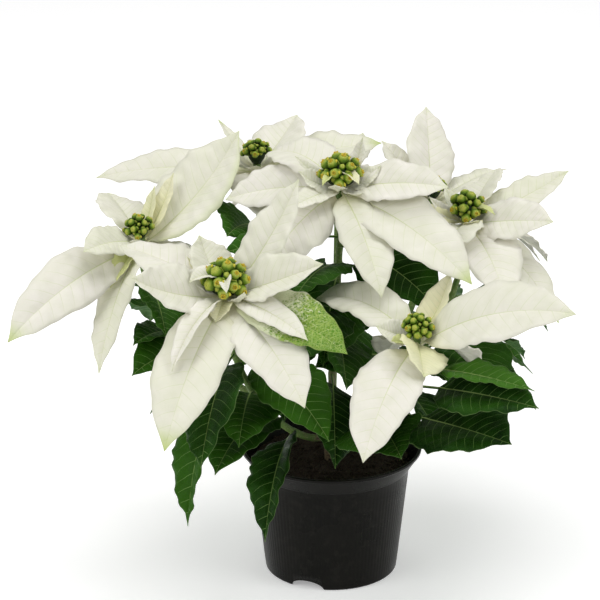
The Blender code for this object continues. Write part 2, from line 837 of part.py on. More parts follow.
def main():
    clear_scene()
    obstacles = Obstacles()
    pot = make_pot()
    soil = make_soil()
    main_stem = make_main_stem()
    for obj in (pot, soil, main_stem):
        points = [vert.co / MM for vert in obj.data.vertices]
        faces = [tuple(face.vertices) for face in obj.data.polygons]
        obstacles.add(obj.name, (points, faces))
    stems = {}
    rosettes = {}
    clusters = {}
    for key, bloom in BLOOMS.items():
        stems[key] = [side_stem(bloom)]
        rosettes[key] = [hub_shape(bloom)]
        clusters[key] = [bud_core(bloom)]
        clusters[key] += [bud(bloom, number) for number in range(bloom.bud_count)]
        for node, parts in (
            (f"leafy_stem_{key}", stems[key]),
            (f"bracts_{key}", rosettes[key]),
            (f"buds_{key}", clusters[key]),
        ):
            for part in parts:
                obstacles.add(node, part)
    for key, blade in in_turn(BRACTS):
        stations = SMALL_STATIONS if blade.length < SMALL_BRACT else BRACT_STATIONS
        root = bract_root(BLOOMS[key], blade)
        node = f"bracts_{key}"
        shape = place_blade(node, root, blade, BRACT_STALK, stations, obstacles)
        if shape:
            rosettes[key].append(shape)
    for key, leaf in in_turn(LEAVES):
        root = side_stem_point(BLOOMS[key], leaf.place)
        node = f"leafy_stem_{key}"
        shape = place_blade(
            node, root, Blade(*leaf[1:]), LEAF_STALK, LEAF_STATIONS, obstacles
        )
        if shape:
            stems[key].append(shape)
    for key in BLOOMS:
        for node, parts, finish in (
            (f"leafy_stem_{key}", stems[key], LEAF_FINISH),
            (f"bracts_{key}", rosettes[key], BRACT_FINISH),
            (f"buds_{key}", clusters[key], BUD_FINISH),
        ):
            body = new_object(node, *parts[0], finish)
            fuse(body, make_blades(node, parts[1:], finish))


main()
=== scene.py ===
"""How the white poinsettia looks: bracts, leaves, buds, stems, soil and a round pot.

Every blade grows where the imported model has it. find_bend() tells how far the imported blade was
bent to clear its neighbours. Lengths are in millimetres until a mesh is made. Directions are in
degrees: a heading is measured in plan from +X towards +Y, a rise up from the horizontal.
"""

import math
from collections import namedtuple

import bpy
import numpy as np
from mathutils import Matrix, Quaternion, Vector, noise
from mathutils.bvhtree import BVHTree


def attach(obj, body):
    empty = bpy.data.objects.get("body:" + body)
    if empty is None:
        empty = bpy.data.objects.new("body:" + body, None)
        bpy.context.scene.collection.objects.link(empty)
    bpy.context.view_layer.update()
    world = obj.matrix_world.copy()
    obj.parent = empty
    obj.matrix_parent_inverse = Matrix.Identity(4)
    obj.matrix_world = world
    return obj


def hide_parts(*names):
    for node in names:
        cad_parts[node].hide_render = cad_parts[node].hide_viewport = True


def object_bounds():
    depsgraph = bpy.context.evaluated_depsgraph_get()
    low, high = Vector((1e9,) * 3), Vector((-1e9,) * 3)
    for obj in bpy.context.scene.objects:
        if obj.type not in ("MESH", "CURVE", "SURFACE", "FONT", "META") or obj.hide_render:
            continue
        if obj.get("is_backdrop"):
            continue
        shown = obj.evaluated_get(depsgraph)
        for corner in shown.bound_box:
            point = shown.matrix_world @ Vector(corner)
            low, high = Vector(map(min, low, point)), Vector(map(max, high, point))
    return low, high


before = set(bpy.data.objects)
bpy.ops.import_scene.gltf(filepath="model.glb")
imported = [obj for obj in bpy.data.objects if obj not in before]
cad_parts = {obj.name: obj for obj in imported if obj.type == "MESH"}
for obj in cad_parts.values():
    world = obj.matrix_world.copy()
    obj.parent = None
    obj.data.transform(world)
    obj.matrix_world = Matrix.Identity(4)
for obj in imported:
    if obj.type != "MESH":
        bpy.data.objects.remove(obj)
cad_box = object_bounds()

MM = 0.001
BODY = "root"

# The pot and the soil.
POT_HEIGHT = 108
RIM_RADIUS = 75
COLLAR_LOW = 91.5
COLLAR_RADIUS = 66
BASE_RADIUS = 55
BASE_ROUNDING = 2.5
WALL = 1.5
COLLAR_WALL = 1.7
FLOOR_LOW = 8
FLOOR_HIGH = 10
FOOT_WIDTH = 4
CENTRE_PAD_RADIUS = 12
POT_SIDES = 324
RIB_COUNT = 108
RIB_DEPTH = 0.14
RIB_LOW = 4.5
NOTCH_HEADINGS = (-112, 8, 128)
NOTCH_WIDTH = 29
NOTCH_HEIGHT = 7.5
DRAIN_RADIUS = 4.5
DRAIN_PITCH_RADIUS = 42
SOIL_TOP = 97
CRUMB_DENSITY = 60000.0
CRUMB_SIZES = (1.2, 3.4)
CRUMB_SEED = 5
PALING_SEED = 11
WHOLE_TURNS = (6.3, 6.3, 6.3)

# Stems, hubs and buds.
STEM_FOOT = 62
STEM_TOP = 150
STEM_RADIUS = 6
SIDE_STEM_RADIUS = 3.0
SIDE_STEM_TIP_RADIUS = 2.6
NODE_SWELLING = 0.5
OUTWARD_RUN = 40
MIDDLE_RUN = 60
HUB_RUN = 70
HUB_HEIGHT = 14
HUB_RADIUS = 3.4
GAP = 0.3
BUD_RADIUS = 4.1
BUD_LENGTH = 9
BUD_CENTRE = 8
BUD_SPREAD = 84
GOLDEN_ANGLE = 137.5
WIDE_CLUSTER = 18
CLUSTER_SWELLING = 1.12
BUD_SIZE = 1.12
BUD_SIZE_POWER = 1.4
BUD_CROWDING = 1.15
SMALL_BUD_DEPTH = 4.2
CUP_SIDES = 16
SIDE_STEM_SIDES = 14
MAIN_STEM_SIDES = 24
RIPE_SHARE = {"a": 0.7, "b": 0.15, "c": 0.9, "d": 0.3, "e": 0.3, "f": 0.5, "g": 0.5, "h": 0.5}

# Blades. PACKED_STEPS is the number of straight steps in a packed blade's midline, and
# PACKED_MISS is how far a packed face may be from a point that looks for it.
PACKED_STEPS = 24
PACKED_HALF_THICKNESS = 0.45
PACKED_MISS = 0.15
BRACT_STALK = 0.06
LEAF_STALK = 0.22
BRACT_TAPERS = (0.69, 0.86)
LEAF_TAPERS = (0.68, 1.1)
YOUNG_FROM = 0.855
SMALL_BRACT = 50
LONG_BRACT = 160
ROOT_DEPTH = 2
ROOT_SPREAD = 7
ROOT_RADIUS = 1.6
MIDLINE_STEPS = 96
STALK_ROWS = 6
BLADE_ROWS = 46
BLADE_COLUMNS = 19
STALK_RADIUS = 1.05
OFFSETS = sorted(
    ((turn, lift) for turn in range(-30, 31, 5) for lift in range(-30, 31, 5)),
    key=lambda pair: (math.hypot(*pair), pair),
)

# The studio, in metres and watts: each softbox has its place, size and power.
FLOOR_REACH = 6.0
FLOOR_COLOUR = (0.95, 0.95, 0.95, 1)
FLOOR_GLOW = 0.32
SKY_STRENGTH = 0.34
PLANT_MIDDLE = (0, 0, 0.22)
SOFTBOXES = {
    "left_softbox": ((-2.0, -1.5, 1.9), 1.5, 30),
    "right_softbox": ((2.2, -1.2, 1.7), 1.5, 24),
    "top_softbox": ((0, 0.3, 2.8), 2.2, 36),
}
CAMERA_PLACE = (-0.0261, -2.5457, 1.1869)
CAMERA_DOWN = 20.47
CAMERA_LENS = 199.26

Bloom = namedtuple("Bloom", "hub stem_height bud_count bud_reach facing lean")
BLOOMS = {
    "a": Bloom((-84, -90, 279), 118, 14, 19, -95, 28),
    "b": Bloom((66, -100, 243), 126, 11, 13, -80, 26),
    "c": Bloom((7, 10, 334), None, 13, 18, -92, 22),
    "d": Bloom((109, 20, 301), 134, 10, 16, -75, 22),
    "e": Bloom((-156, 20, 284), 126, 8, 13, -110, 24),
    "f": Bloom((-62, 90, 324), 140, 8, 13, 110, 6),
    "g": Bloom((85, 110, 286), 118, 6, 12, 50, 18),
    "h": Bloom((6, 150, 292), 130, 6, 12, 90, 18),
}

# Each bract: a Blade, whose finish is white where none is given.
BLADE_PARTS = "heading rise droop length width cup roll finish"
Blade = namedtuple("Blade", BLADE_PARTS, defaults=("white",))
BRACTS = {
    "a": (
        (-56, -11, 34, 124, 52, 8, 19),
        (-111, -12, 42, 152, 56, 8, -12, "tipped"),
        (-151, 11, -30, 88, 50, 22, -41),
        (148, 25, 24, 104, 48, 8, -10),
        (117, 21, -30, 60, 42, 15, 7),
        (-14, 22, -4, 84, 44, 25, 40),
        (-43, 5, 30, 88, 25, 10, 25),
        (-34, 3, 30, 116, 48, 8, 29, "netted"),
        (28, 45, -20, 109, 40, 12, 22),
        (141, 20, -30, 46, 11, 15, -7, "cream"),
        (-117, 4, 60, 98, 22, 30, 4),
        (90, -5, 50, 84, 44, 10, 0),
        (-104, -16, 10, 34, 20, 20, 0, "cream"),
        (-172, 18, -50, 36, 20, 25, -30),
        (-70, -22, -100, 34, 14, 20, 0),
        (-10, 0, -40, 34, 16, 20, 0),
    ),
    "b": (
        (-113, -3, 50, 128, 53, 10, -9),
        (147, 45, 70, 102, 44, 12, -20),
        (-22, 41, 45, 140, 58, 6, 37),
        (54, 30, -40, 66, 30, 30, -8, "cream"),
        (-86, 2, 20, 56, 44, 16, -30, "cream"),
        (-172, 34, 0, 34, 24, 20, -44),
        (47, 21, -20, 32, 18, 20, -14, "lime"),
        (-150, 6, -20, 28, 16, 20, -20, "lime"),
        (110, -5, 50, 80, 42, 10, 0),
        (50, -8, 46, 90, 44, 10, 0),
    ),
    "c": (
        (-133, -8, 44, 110, 54, 8, -27),
        (-71, -12, 40, 114, 44, 10, 0),
        (-39, -4, 34, 142, 54, 8, 25, "tipped"),
        (-21, 20, 24, 92, 40, 12, 39),
        (-8, 12, -44, 38, 20, 20, 40),
        (41, 38, -50, 46, 16, 20, 6),
        (132, 39, 70, 96, 48, 8, -13, "tipped"),
        (167, 24, -20, 44, 10, 20, -34),
        (-160, 8, -40, 40, 24, 20, -40),
        (-133, 7, 20, 60, 22, 12, -19),
        (165, 6, 30, 96, 46, 10, -35),
        (75, 0, 36, 96, 48, 10, 0),
        (-100, -6, -60, 32, 16, 20, 0),
        (-58, -8, -50, 30, 14, 20, 0),
    ),
    "d": (
        (-72, 2, 45, 100, 56, 10, -1),
        (-108, 14, 40, 72, 48, 8, 10),
        (-52, 1, 50, 122, 38, 8, -3, "tipped"),
        (-33, 17, 10, 82, 44, 8, 37),
        (18, 18, -10, 96, 36, 10, 21),
        (66, 30, 20, 74, 44, 10, -29),
        (-169, 22, -36, 38, 12, 20, -49),
        (124, 29, -20, 36, 14, 20, -4),
        (-157, 22, -10, 56, 14, 14, -43, "cream"),
        (-72, -8, -60, 32, 18, 20, 0, "cream"),
        (24, -6, 50, 90, 44, 10, 0),
        (110, -8, 46, 86, 44, 10, 0),
    ),
    "e": (
        (-134, 0, 34, 154, 50, 8, -33, "tipped"),
        (-108, -13, 50, 128, 34, 10, 21),
        (-115, -12, 20, 58, 22, 30, 3, "lime"),
        (-95, -6, -60, 30, 16, 20, 0),
        (-129, 24, 30, 70, 36, 8, -28),
        (117, 31, 24, 70, 54, 10, 16),
        (50, 38, -30, 64, 20, 20, -2, "cream"),
        (69, 41, -20, 48, 14, 20, -16, "cream"),
        (33, 22, -30, 126, 66, 14, 17, "edged"),
        (140, -6, 50, 92, 46, 10, 0),
        (95, -4, 50, 104, 48, 10, 0),
        (50, -8, 46, 84, 42, 10, 0),
    ),
    "f": (
        (-80, 6, 40, 84, 60, 10, 0),
        (21, 16, 20, 112, 46, 10, 16, "tipped"),
        (165, 5, 24, 142, 40, 8, -28),
        (60, 20, -10, 72, 56, 10, -11),
        (117, 18, 0, 76, 16, 12, 20, "tipped"),
        (130, -6, 46, 112, 52, 10, 0),
        (90, -8, 46, 104, 50, 10, 0),
        (-165, 4, -50, 36, 18, 20, 0),
        (-90, -6, -60, 30, 16, 20, 0),
    ),
    "g": (
        (93, 53, 10, 92, 46, 8, 25),
        (42, 23, 30, 90, 30, 10, -9),
        (136, 43, 10, 72, 36, 10, 5),
        (10, -6, 50, 112, 52, 10, 0),
        (58, -6, 48, 128, 54, 10, 0),
        (105, -10, 44, 112, 50, 10, 0),
        (-20, 0, 40, 78, 38, 10, 0),
    ),
    "h": (
        (90, 4, 52, 146, 58, 10, 0),
        (50, 4, 50, 120, 52, 10, 0),
        (132, 4, 50, 126, 54, 10, 0),
        (168, 4, 44, 104, 46, 10, 0),
        (12, 4, 44, 104, 46, 10, 0),
        (70, 26, 10, 70, 34, 14, 0),
        (-60, 18, -10, 50, 24, 14, 0),
    ),
}

# Each leaf: its place along the side stem from 0 to 1, then its Blade.
LEAVES = {
    "a": (
        (0.26, -102, 22, 90, 140, 48, 22, 33),
        (0.6, -96, 24, 60, 100, 58, 10, -10),
        (0.45, -110, 28, 50, 130, 62, 10, 1),
        (0.8, -102, 5, 60, 132, 62, 10, 29),
        (0.8, -46, 2, 50, 120, 60, 10, 12),
    ),
    "b": (
        (0.66, -49, 10, 8, 128, 82, 8, 20),
        (0.42, -96, 40, 60, 112, 66, 10, 36),
        (0.4, -64, 34, 40, 100, 60, 10, 21),
        (0.85, -45, 13, 10, 134, 60, 10, 23),
        (0.94, -43, 13, 14, 122, 34, 14, 9),
    ),
    "c": (
        (0.12, -89, 7, 60, 115, 60, 10, -32),
        (0.34, -118, 20, 60, 130, 62, 10, 24),
        (0.4, -86, 8, 40, 120, 64, 10, -37),
        (0.5, -83, 22, 60, 130, 60, 10, -32),
        (0.6, -140, 20, 50, 120, 66, 10, -20),
        (0.7, -88, 21, 40, 110, 66, 10, -29),
        (0.8, -42, 8, 40, 112, 66, 10, 20),
        (0.84, -135, 22, 20, 112, 38, 10, -21),
        (0.7, -111, 23, 40, 100, 62, 10, 1),
    ),
    "d": (
        (0.3, -86, 25, 60, 125, 62, 10, -29),
        (0.35, -20, 30, 70, 130, 60, 10, 0),
        (0.6, -66, 15, 56, 114, 70, 10, 4),
        (0.5, 30, 20, 80, 118, 58, 10, 0),
        (0.74, 15, 10, 70, 100, 50, 10, 0),
        (0.45, -149, 27, 40, 112, 62, 10, -26),
    ),
    "e": (
        (0.35, 160, 20, 80, 105, 56, 10, 0),
        (0.5, -124, 44, 60, 125, 56, 12, -23),
        (0.62, -117, 37, 50, 100, 36, 12, -8),
        (0.7, 100, 10, 80, 100, 54, 10, 0),
        (0.45, -107, -2, 80, 150, 50, 20, 37),
        (0.86, -79, 17, 50, 90, 48, 12, -30),
    ),
    "f": (
        (0.35, -94, 24, 60, 130, 54, 10, 32),
        (0.35, 130, 20, 80, 140, 62, 10, 0),
        (0.5, 170, 20, 70, 130, 58, 10, 0),
        (0.66, 95, 10, 80, 130, 58, 10, 0),
        (0.8, -107, 36, 40, 100, 54, 10, -29),
    ),
    "g": (
        (0.35, 40, 20, 80, 140, 62, 10, 0),
        (0.5, 5, 20, 70, 130, 58, 10, 0),
        (0.66, 75, 10, 80, 130, 58, 10, 0),
        (0.8, 25, 5, 60, 115, 50, 10, 0),
    ),
    "h": (
        (0.35, 90, 20, 80, 140, 62, 10, 0),
        (0.5, 55, 15, 75, 130, 58, 10, 0),
        (0.66, 125, 10, 80, 130, 58, 10, 0),
    ),
}


# Small helpers.


def smooth(low, high, value):
    """0 below low, 1 above high, and an even S between them."""
    share = np.clip((np.asarray(value, float) - low) / (high - low), 0, 1)
    return share * share * (3 - 2 * share)


def unit(vectors):
    return vectors / np.linalg.norm(vectors, axis=-1, keepdims=True)


def around(place, places, radius, height):
    """A point at one of the even places round the z axis."""
    angle = 2 * math.pi * place / places
    return (radius * math.cos(angle), radius * math.sin(angle), height)


def show(name, data):
    """A new object in the scene."""
    obj = bpy.data.objects.new(name, data)
    bpy.context.scene.collection.objects.link(obj)
    return obj


class Shell:
    """Points in millimetres, faces, materials and values at each point, gathered into one mesh."""

    def __init__(self):
        self.points = []
        self.faces = []
        self.slots = []
        self.values = {"vein": [], "place": [], "tone": []}
        self.count = 0

    def add(self, points, faces, slot=0, vein=(0, 1, 0), place=(0, 0, 1), tone=(0, 0, 0)):
        points = np.asarray(points, float).reshape(-1, 3)
        self.points.append(points)
        self.faces += [tuple(int(i) + self.count for i in face) for face in faces]
        self.slots += [slot] * len(faces)
        for name, value in (("vein", vein), ("place", place), ("tone", tone)):
            value = np.asarray(value, float).reshape(-1, 3)
            self.values[name].append(np.broadcast_to(value, points.shape))
        self.count += len(points)

    def piece(self, name, *materials):
        points = np.concatenate(self.points) * MM
        mesh = bpy.data.meshes.new(name)
        mesh.from_pydata(points.tolist(), [], self.faces)
        for finish in materials:
            mesh.materials.append(finish)
        mesh.polygons.foreach_set("material_index", self.slots)
        mesh.polygons.foreach_set("use_smooth", [True] * len(self.faces))
        for key, blocks in self.values.items():
            attribute = mesh.attributes.new(key, "FLOAT_VECTOR", "POINT")
            values = np.concatenate(blocks).astype(np.float32)
            attribute.data.foreach_set("vector", values.ravel())
        mesh.update()
        return show(name, mesh)


def solid(name, points, faces):
    """One solid as an object, which has no finish yet."""
    shell = Shell()
    shell.add(points, faces)
    return shell.piece(name)


def settle(piece, slot, *nodes):
    """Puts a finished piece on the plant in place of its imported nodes."""
    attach(piece, BODY)
    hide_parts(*nodes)


# Building node trees.

SOCKETS = {float: "NodeSocketFloat", int: "NodeSocketInt"}
SHAPE = "NodeSocketGeometry"
THING = "NodeSocketObject"


class Bench:
    """The node tree that is being built. The functions below add to it."""

    tree = None


def put(kind, *values, **named):
    """A new node. The values and links go to its inputs in order; a name that starts with a
    capital is an input's, with _ for a space, and any other name is a setting's."""
    node = Bench.tree.nodes.new(kind)
    for name, value in named.items():
        if name.islower():
            setattr(node, name, value)
    for socket, value in zip(node.inputs, values):
        feed(value, socket)
    for name, value in named.items():
        if not name.islower():
            feed(value, node.inputs[name.replace("_", " ")])
    return node


def feed(value, socket):
    """Links a node or a socket to the socket, or sets a plain value on it."""
    if value is None:
        return
    if isinstance(value, bpy.types.Node):
        value = value.outputs[0]
    if isinstance(value, bpy.types.NodeSocket):
        Bench.tree.links.new(value, socket)
    else:
        socket.default_value = value


def maths(operation, *values, clamp=False):
    return put("ShaderNodeMath", *values, operation=operation, use_clamp=clamp).outputs[0]


def times(first, second):
    return maths("MULTIPLY", first, second)


def ramp(value, low, high, start=0.0, end=1.0):
    """start where value is at low or under, end where it is at high or over."""
    values = (value, low, high, start, end)
    return put("ShaderNodeMapRange", *values, interpolation_type="SMOOTHSTEP").outputs[0]


def mix(factor, first, second):
    """A colour between two."""
    node = put("ShaderNodeMix", factor, data_type="RGBA")
    for value, socket in ((first, node.inputs[6]), (second, node.inputs[7])):
        feed((*value, 1) if isinstance(value, tuple) else value, socket)
    return node.outputs[2]


def layers(colour, *over):
    """A colour with others laid over it in turn, each by its own share."""
    for share, upper in over:
        colour = mix(share, colour, upper)
    return colour


def parts(attribute):
    """The three numbers kept at each point under that name."""
    source = put("ShaderNodeAttribute", attribute_name=attribute)
    return put("ShaderNodeSeparateXYZ", source.outputs["Vector"]).outputs


def new_group(name, kind, outputs, inputs):
    """A node group with its named sockets, and its two end nodes. An input is given by the
    number it starts at or, where it has none, by its type."""
    tree = Bench.tree = bpy.data.node_groups.new(name, kind)
    for label, value in inputs.items():
        typed = value if isinstance(value, str) else SOCKETS[type(value)]
        label = label.replace("_", " ")
        socket = tree.interface.new_socket(label, in_out="INPUT", socket_type=typed)
        if value != typed:
            socket.default_value = value
    for label, typed in outputs.items():
        tree.interface.new_socket(label, in_out="OUTPUT", socket_type=typed)
    start = tree.nodes.new("NodeGroupInput")
    end = tree.nodes.new("NodeGroupOutput")
    return tree, start.outputs, end.inputs


def shader_group(name, outputs, **inputs):
    """A group that a finish can use; all its outputs are numbers."""
    return new_group(name, "ShaderNodeTree", dict.fromkeys(outputs, SOCKETS[float]), inputs)


def use(group, **values):
    """The outputs of a shader group with these inputs."""
    return put("ShaderNodeGroup", node_tree=group, **values).outputs


def geometry_group(name, **inputs):
    """A tree that makes a shape with a finish, from its own inputs."""
    inputs["Finish"] = "NodeSocketMaterial"
    return new_group(name, "GeometryNodeTree", {"Geometry": SHAPE}, inputs)


def finish_shape(given, out, shape):
    """Ends a tree: every copy becomes real, and the whole gets its finish."""
    real = put("GeometryNodeRealizeInstances", shape)
    whole = put("GeometryNodeSetMaterial", real, Material=given["Finish"])
    feed(whole, out["Geometry"])
    return Bench.tree


# Shader groups that several finishes share.


def vein_group():
    """Masks of a blade's midrib, side veins and fine net, from its own points' values."""
    masks = ("Midrib", "Side", "Net", "Relief")
    tree, given, out = shader_group(
        "blade_veins", masks, Midrib_Width=1.0, Vein_Width=0.6, Net_Size=2.2
    )
    phase, gap, lateral = parts("vein")
    across, along, _ = parts("place")
    sideways = maths("ABSOLUTE", lateral)
    rib_width = times(given["Midrib Width"], ramp(along, 0.0, 1.0, 1.0, 0.3))
    rib_share = maths("DIVIDE", sideways, rib_width)
    turn = maths("FRACT", maths("ADD", phase, 0.5))
    off = maths("ABSOLUTE", maths("SUBTRACT", turn, 0.5))
    vein_width = times(given["Vein Width"], ramp(across, 0.0, 1.0, 1.0, 0.35))
    vein_share = maths("DIVIDE", times(off, gap), vein_width)
    line = ramp(vein_share, 0.4, 1.3, 1.0, 0.0)
    cells = put(
        "ShaderNodeTexVoronoi", put("ShaderNodeTexCoord").outputs["Object"],
        feature="DISTANCE_TO_EDGE", voronoi_dimensions="3D",
        Scale=maths("DIVIDE", 1 / MM, given["Net Size"]),
    )
    net = ramp(cells.outputs["Distance"], 0.0, 0.16, 1.0, 0.0)
    swell = times(ramp(vein_share, 0.0, 3.0), 0.6)
    feed(ramp(rib_share, 0.55, 1.25, 1.0, 0.0), out["Midrib"])
    feed(times(line, ramp(across, 0.7, 0.97, 1.0, 0.0)), out["Side"])
    feed(net, out["Net"])
    feed(maths("ADD", swell, times(net, -0.4)), out["Relief"])
    return tree


def mottle_group():
    """Soft cloudy variation over a surface, from 0 to 1 with a middle of about a half."""
    tree, given, out = shader_group("mottle", ["Value"], Size=10.0, Contrast=1.0)
    clouds = put(
        "ShaderNodeTexNoise", put("ShaderNodeTexCoord").outputs["Object"],
        noise_dimensions="3D", Detail=4, Scale=maths("DIVIDE", 1 / MM, given["Size"]),
    )
    centred = maths("SUBTRACT", clouds.outputs[0], 0.5)
    stretched = times(centred, given["Contrast"])
    feed(maths("ADD", stretched, 0.5, clamp=True), out["Value"])
    return tree


# Finishes.


def new_finish(name, **constants):
    """A material with one Principled shader, whose own sockets hold the constants."""
    finish = bpy.data.materials.new(name)
    finish.use_nodes = True
    Bench.tree = finish.node_tree
    inputs = finish.node_tree.nodes["Principled BSDF"].inputs
    for label, value in constants.items():
        inputs[label.replace("_", " ")].default_value = value
    return finish


def cover(finish, colour, grain, rough, height, depth, strength):
    """Gives a finish its colour, a roughness that the grain varies, and bumps of that depth."""
    inputs = finish.node_tree.nodes["Principled BSDF"].inputs
    feed(colour, inputs["Base Color"])
    feed(ramp(grain, 0.0, 1.0, *rough), inputs["Roughness"])
    bumps = put("ShaderNodeBump", Strength=strength, Distance=depth * MM, Height=height)
    feed(bumps, inputs["Normal"])
    return finish


def bract_finish(veins, mottle):
    """White to cream, with faint veins, green where the blade's tone says so."""
    finish = new_finish("bract_white", Specular_IOR_Level=0.15)
    masks = use(veins, Midrib_Width=0.6, Vein_Width=0.4, Net_Size=2.4)
    clouds = use(mottle, Size=17.0, Contrast=1.9)[0]
    specks = use(mottle, Size=2.5, Contrast=3.0)[0]
    flecks = use(mottle, Size=1.6, Contrast=4.0)[0]
    across, along, _ = parts("place")
    green, cream, tint = parts("tone")
    pale = maths("MAXIMUM", masks["Side"], masks["Midrib"])
    pale = maths("MAXIMUM", pale, times(masks["Net"], 0.6))
    pale = maths("MAXIMUM", pale, times(ramp(across, 0.9, 1.0), 0.6))
    ragged = times(green, maths("ADD", times(specks, 0.7), 0.65))
    grass = layers(
        mix(clouds, (0.035, 0.14, 0.006), (0.10, 0.25, 0.015)),
        (times(flecks, ramp(along, 0.4, 1.0, 0.9, 0.35)), (0.36, 0.46, 0.09)),
        (times(pale, 0.7), (0.42, 0.52, 0.17)),
    )
    colour = layers(
        mix(clouds, (0.82, 0.79, 0.72), (0.73, 0.725, 0.60)),
        (maths("MAXIMUM", cream, ramp(along, 0.0, 0.25, 0.4, 0.0)), (0.80, 0.77, 0.42)),
        (times(masks["Side"], 0.5), (0.62, 0.66, 0.42)),
        (times(masks["Midrib"], ramp(along, 0.1, 1.0, 0.6, 0.2)), (0.52, 0.58, 0.24)),
        (tint, (0.42, 0.53, 0.11)),
        (ramp(maths("SUBTRACT", ragged, times(pale, 0.3)), 0.2, 0.6), grass),
    )
    return cover(finish, colour, specks, (0.48, 0.62), masks["Relief"], 0.12, 0.7)


def leaf_finish(veins, mottle):
    """Deep green above with pale veins and edge, paler and duller below."""
    finish = new_finish("leaf_green", Specular_IOR_Level=0.06)
    masks = use(veins, Midrib_Width=0.7, Vein_Width=0.34, Net_Size=2.0)
    clouds = use(mottle, Size=18.0, Contrast=2.4)[0]
    specks = use(mottle, Size=1.2, Contrast=3.0)[0]
    across, along, top = parts("place")
    bright, _, shade = parts("tone")
    upper = layers(
        mix(clouds, (0.003, 0.015, 0.001), (0.015, 0.060, 0.002)),
        (shade, (0.030, 0.105, 0.004)),
        (bright, (0.06, 0.17, 0.015)),
        (times(masks["Net"], 0.25), (0.035, 0.11, 0.025)),
        (times(masks["Side"], 0.65), (0.20, 0.34, 0.10)),
        (times(ramp(across, 0.975, 1.0), 0.5), (0.22, 0.32, 0.11)),
        (times(masks["Midrib"], ramp(along, 0.1, 1.0, 0.9, 0.5)), (0.32, 0.44, 0.15)),
    )
    lower = layers(
        mix(clouds, (0.06, 0.14, 0.045), (0.09, 0.18, 0.06)),
        (maths("MAXIMUM", masks["Midrib"], times(masks["Side"], 0.5)), (0.22, 0.32, 0.12)),
    )
    colour = mix(top, lower, upper)
    return cover(finish, colour, specks, (0.34, 0.5), masks["Relief"], 0.3, 0.8)


def stem_finish(mottle):
    """Green skin with pale dots and, where the tone says so, brown bark."""
    finish = new_finish("stem_bark", Specular_IOR_Level=0.3)
    clouds = use(mottle, Size=9.0, Contrast=2.5)[0]
    specks = use(mottle, Size=1.4, Contrast=4.0)[0]
    bark = maths("ADD", parts("tone")[0], times(clouds, 0.5))
    colour = layers(
        mix(clouds, (0.09, 0.17, 0.035), (0.16, 0.25, 0.06)),
        (times(ramp(specks, 0.72, 0.9), 0.5), (0.32, 0.33, 0.18)),
        (ramp(bark, 0.5, 0.9), mix(specks, (0.07, 0.045, 0.025), (0.20, 0.15, 0.09))),
    )
    return cover(finish, colour, specks, (0.45, 0.75), specks, 0.3, 0.5)


def bud_finish(mottle):
    """Green cups, orange-yellow tufts and yellow glands; tone holds tuft, gland and height, and
    low heights get painted shade between the buds.
    """
    finish = new_finish("bud_green", Specular_IOR_Level=0.25)
    clouds = use(mottle, Size=3.0, Contrast=2.0)[0]
    specks = use(mottle, Size=0.6, Contrast=4.0)[0]
    tuft, gland, height = parts("tone")
    skin = mix(clouds, (0.06, 0.15, 0.005), (0.19, 0.30, 0.012))
    colour = layers(
        # Painted shade: near black at the foot of each cup and over the core, where the buds shade
        # one another.
        mix(ramp(height, 0.2, 0.85), (0.006, 0.020, 0.001), skin),
        (ramp(height, 0.7, 1.05), mix(specks, (0.55, 0.56, 0.11), (0.32, 0.38, 0.04))),
        (tuft, mix(specks, (0.72, 0.60, 0.06), (0.56, 0.36, 0.02))),
        (gland, (0.58, 0.52, 0.05)),
    )
    return cover(finish, colour, specks, (0.35, 0.6), specks, 0.12, 0.5)


def peat_finish(mottle):
    """Dark damp peat; tone holds how pale a crumb is."""
    finish = new_finish("peat", Specular_IOR_Level=0.2)
    grains = use(mottle, Size=1.6, Contrast=3.0)[0]
    clouds = use(mottle, Size=12.0, Contrast=2.0)[0]
    colour = layers(
        mix(grains, (0.012, 0.009, 0.007), (0.045, 0.03, 0.02)),
        (times(clouds, 0.4), (0.02, 0.014, 0.010)),
        (parts("tone")[0], (0.17, 0.12, 0.08)),
    )
    return cover(finish, colour, grains, (0.8, 0.98), grains, 0.8, 0.8)


def pot_finish(mottle):
    """Charcoal moulded plastic with a faint grain and dusty, slightly worn high spots."""
    finish = new_finish("pot_plastic", Specular_IOR_Level=0.1)
    clouds = use(mottle, Size=30.0, Contrast=2.0)[0]
    grain = use(mottle, Size=0.7, Contrast=3.0)[0]
    dust = use(mottle, Size=6.0, Contrast=3.0)[0]
    colour = layers(
        mix(clouds, (0.0035, 0.0035, 0.0025), (0.0065, 0.006, 0.0045)),
        (times(ramp(dust, 0.55, 1.0), 0.04), (0.09, 0.08, 0.065)),
    )
    return cover(finish, colour, clouds, (0.24, 0.34), grain, 0.05, 0.5)


# Blades.


def blade_outline(share, stalk):
    """Half width, as a share of the widest, along the flat part from 0 to 1."""
    base, tip = LEAF_TAPERS if stalk == LEAF_STALK else BRACT_TAPERS
    widest = base / (base + tip)
    inside = np.clip(share, 0, 1)
    width = (inside / widest) ** base * ((1 - inside) / (1 - widest)) ** tip
    return width * (1 - 0.4 * smooth(0.84, 1.0, inside))


def midline(root, blade, shares):
    """Centre, side and up at each share of an evenly bent blade's length."""
    lag = 0.5 / PACKED_STEPS
    fine = np.linspace(0, 1, MIDLINE_STEPS + 1)
    middles = np.clip((fine[1:] + fine[:-1]) / 2 - lag, 0, 1)
    steps = directions(blade, middles) * blade.length / MIDLINE_STEPS
    travelled = np.vstack([np.zeros(3), np.cumsum(steps, axis=0)])
    centre = np.array(root, float) + np.stack(
        [np.interp(shares, fine, travelled[:, k]) for k in range(3)], axis=1
    )
    return centre, *sides_of(blade, directions(blade, np.clip(shares - lag, 0, 1)))


def directions(blade, shares):
    """The way that a blade runs at each share of its length."""
    pitch = np.radians(blade.rise - blade.droop * shares)
    heading = math.radians(blade.heading)
    flat = np.cos(pitch)
    return np.stack([flat * math.cos(heading), flat * math.sin(heading), np.sin(pitch)], axis=1)


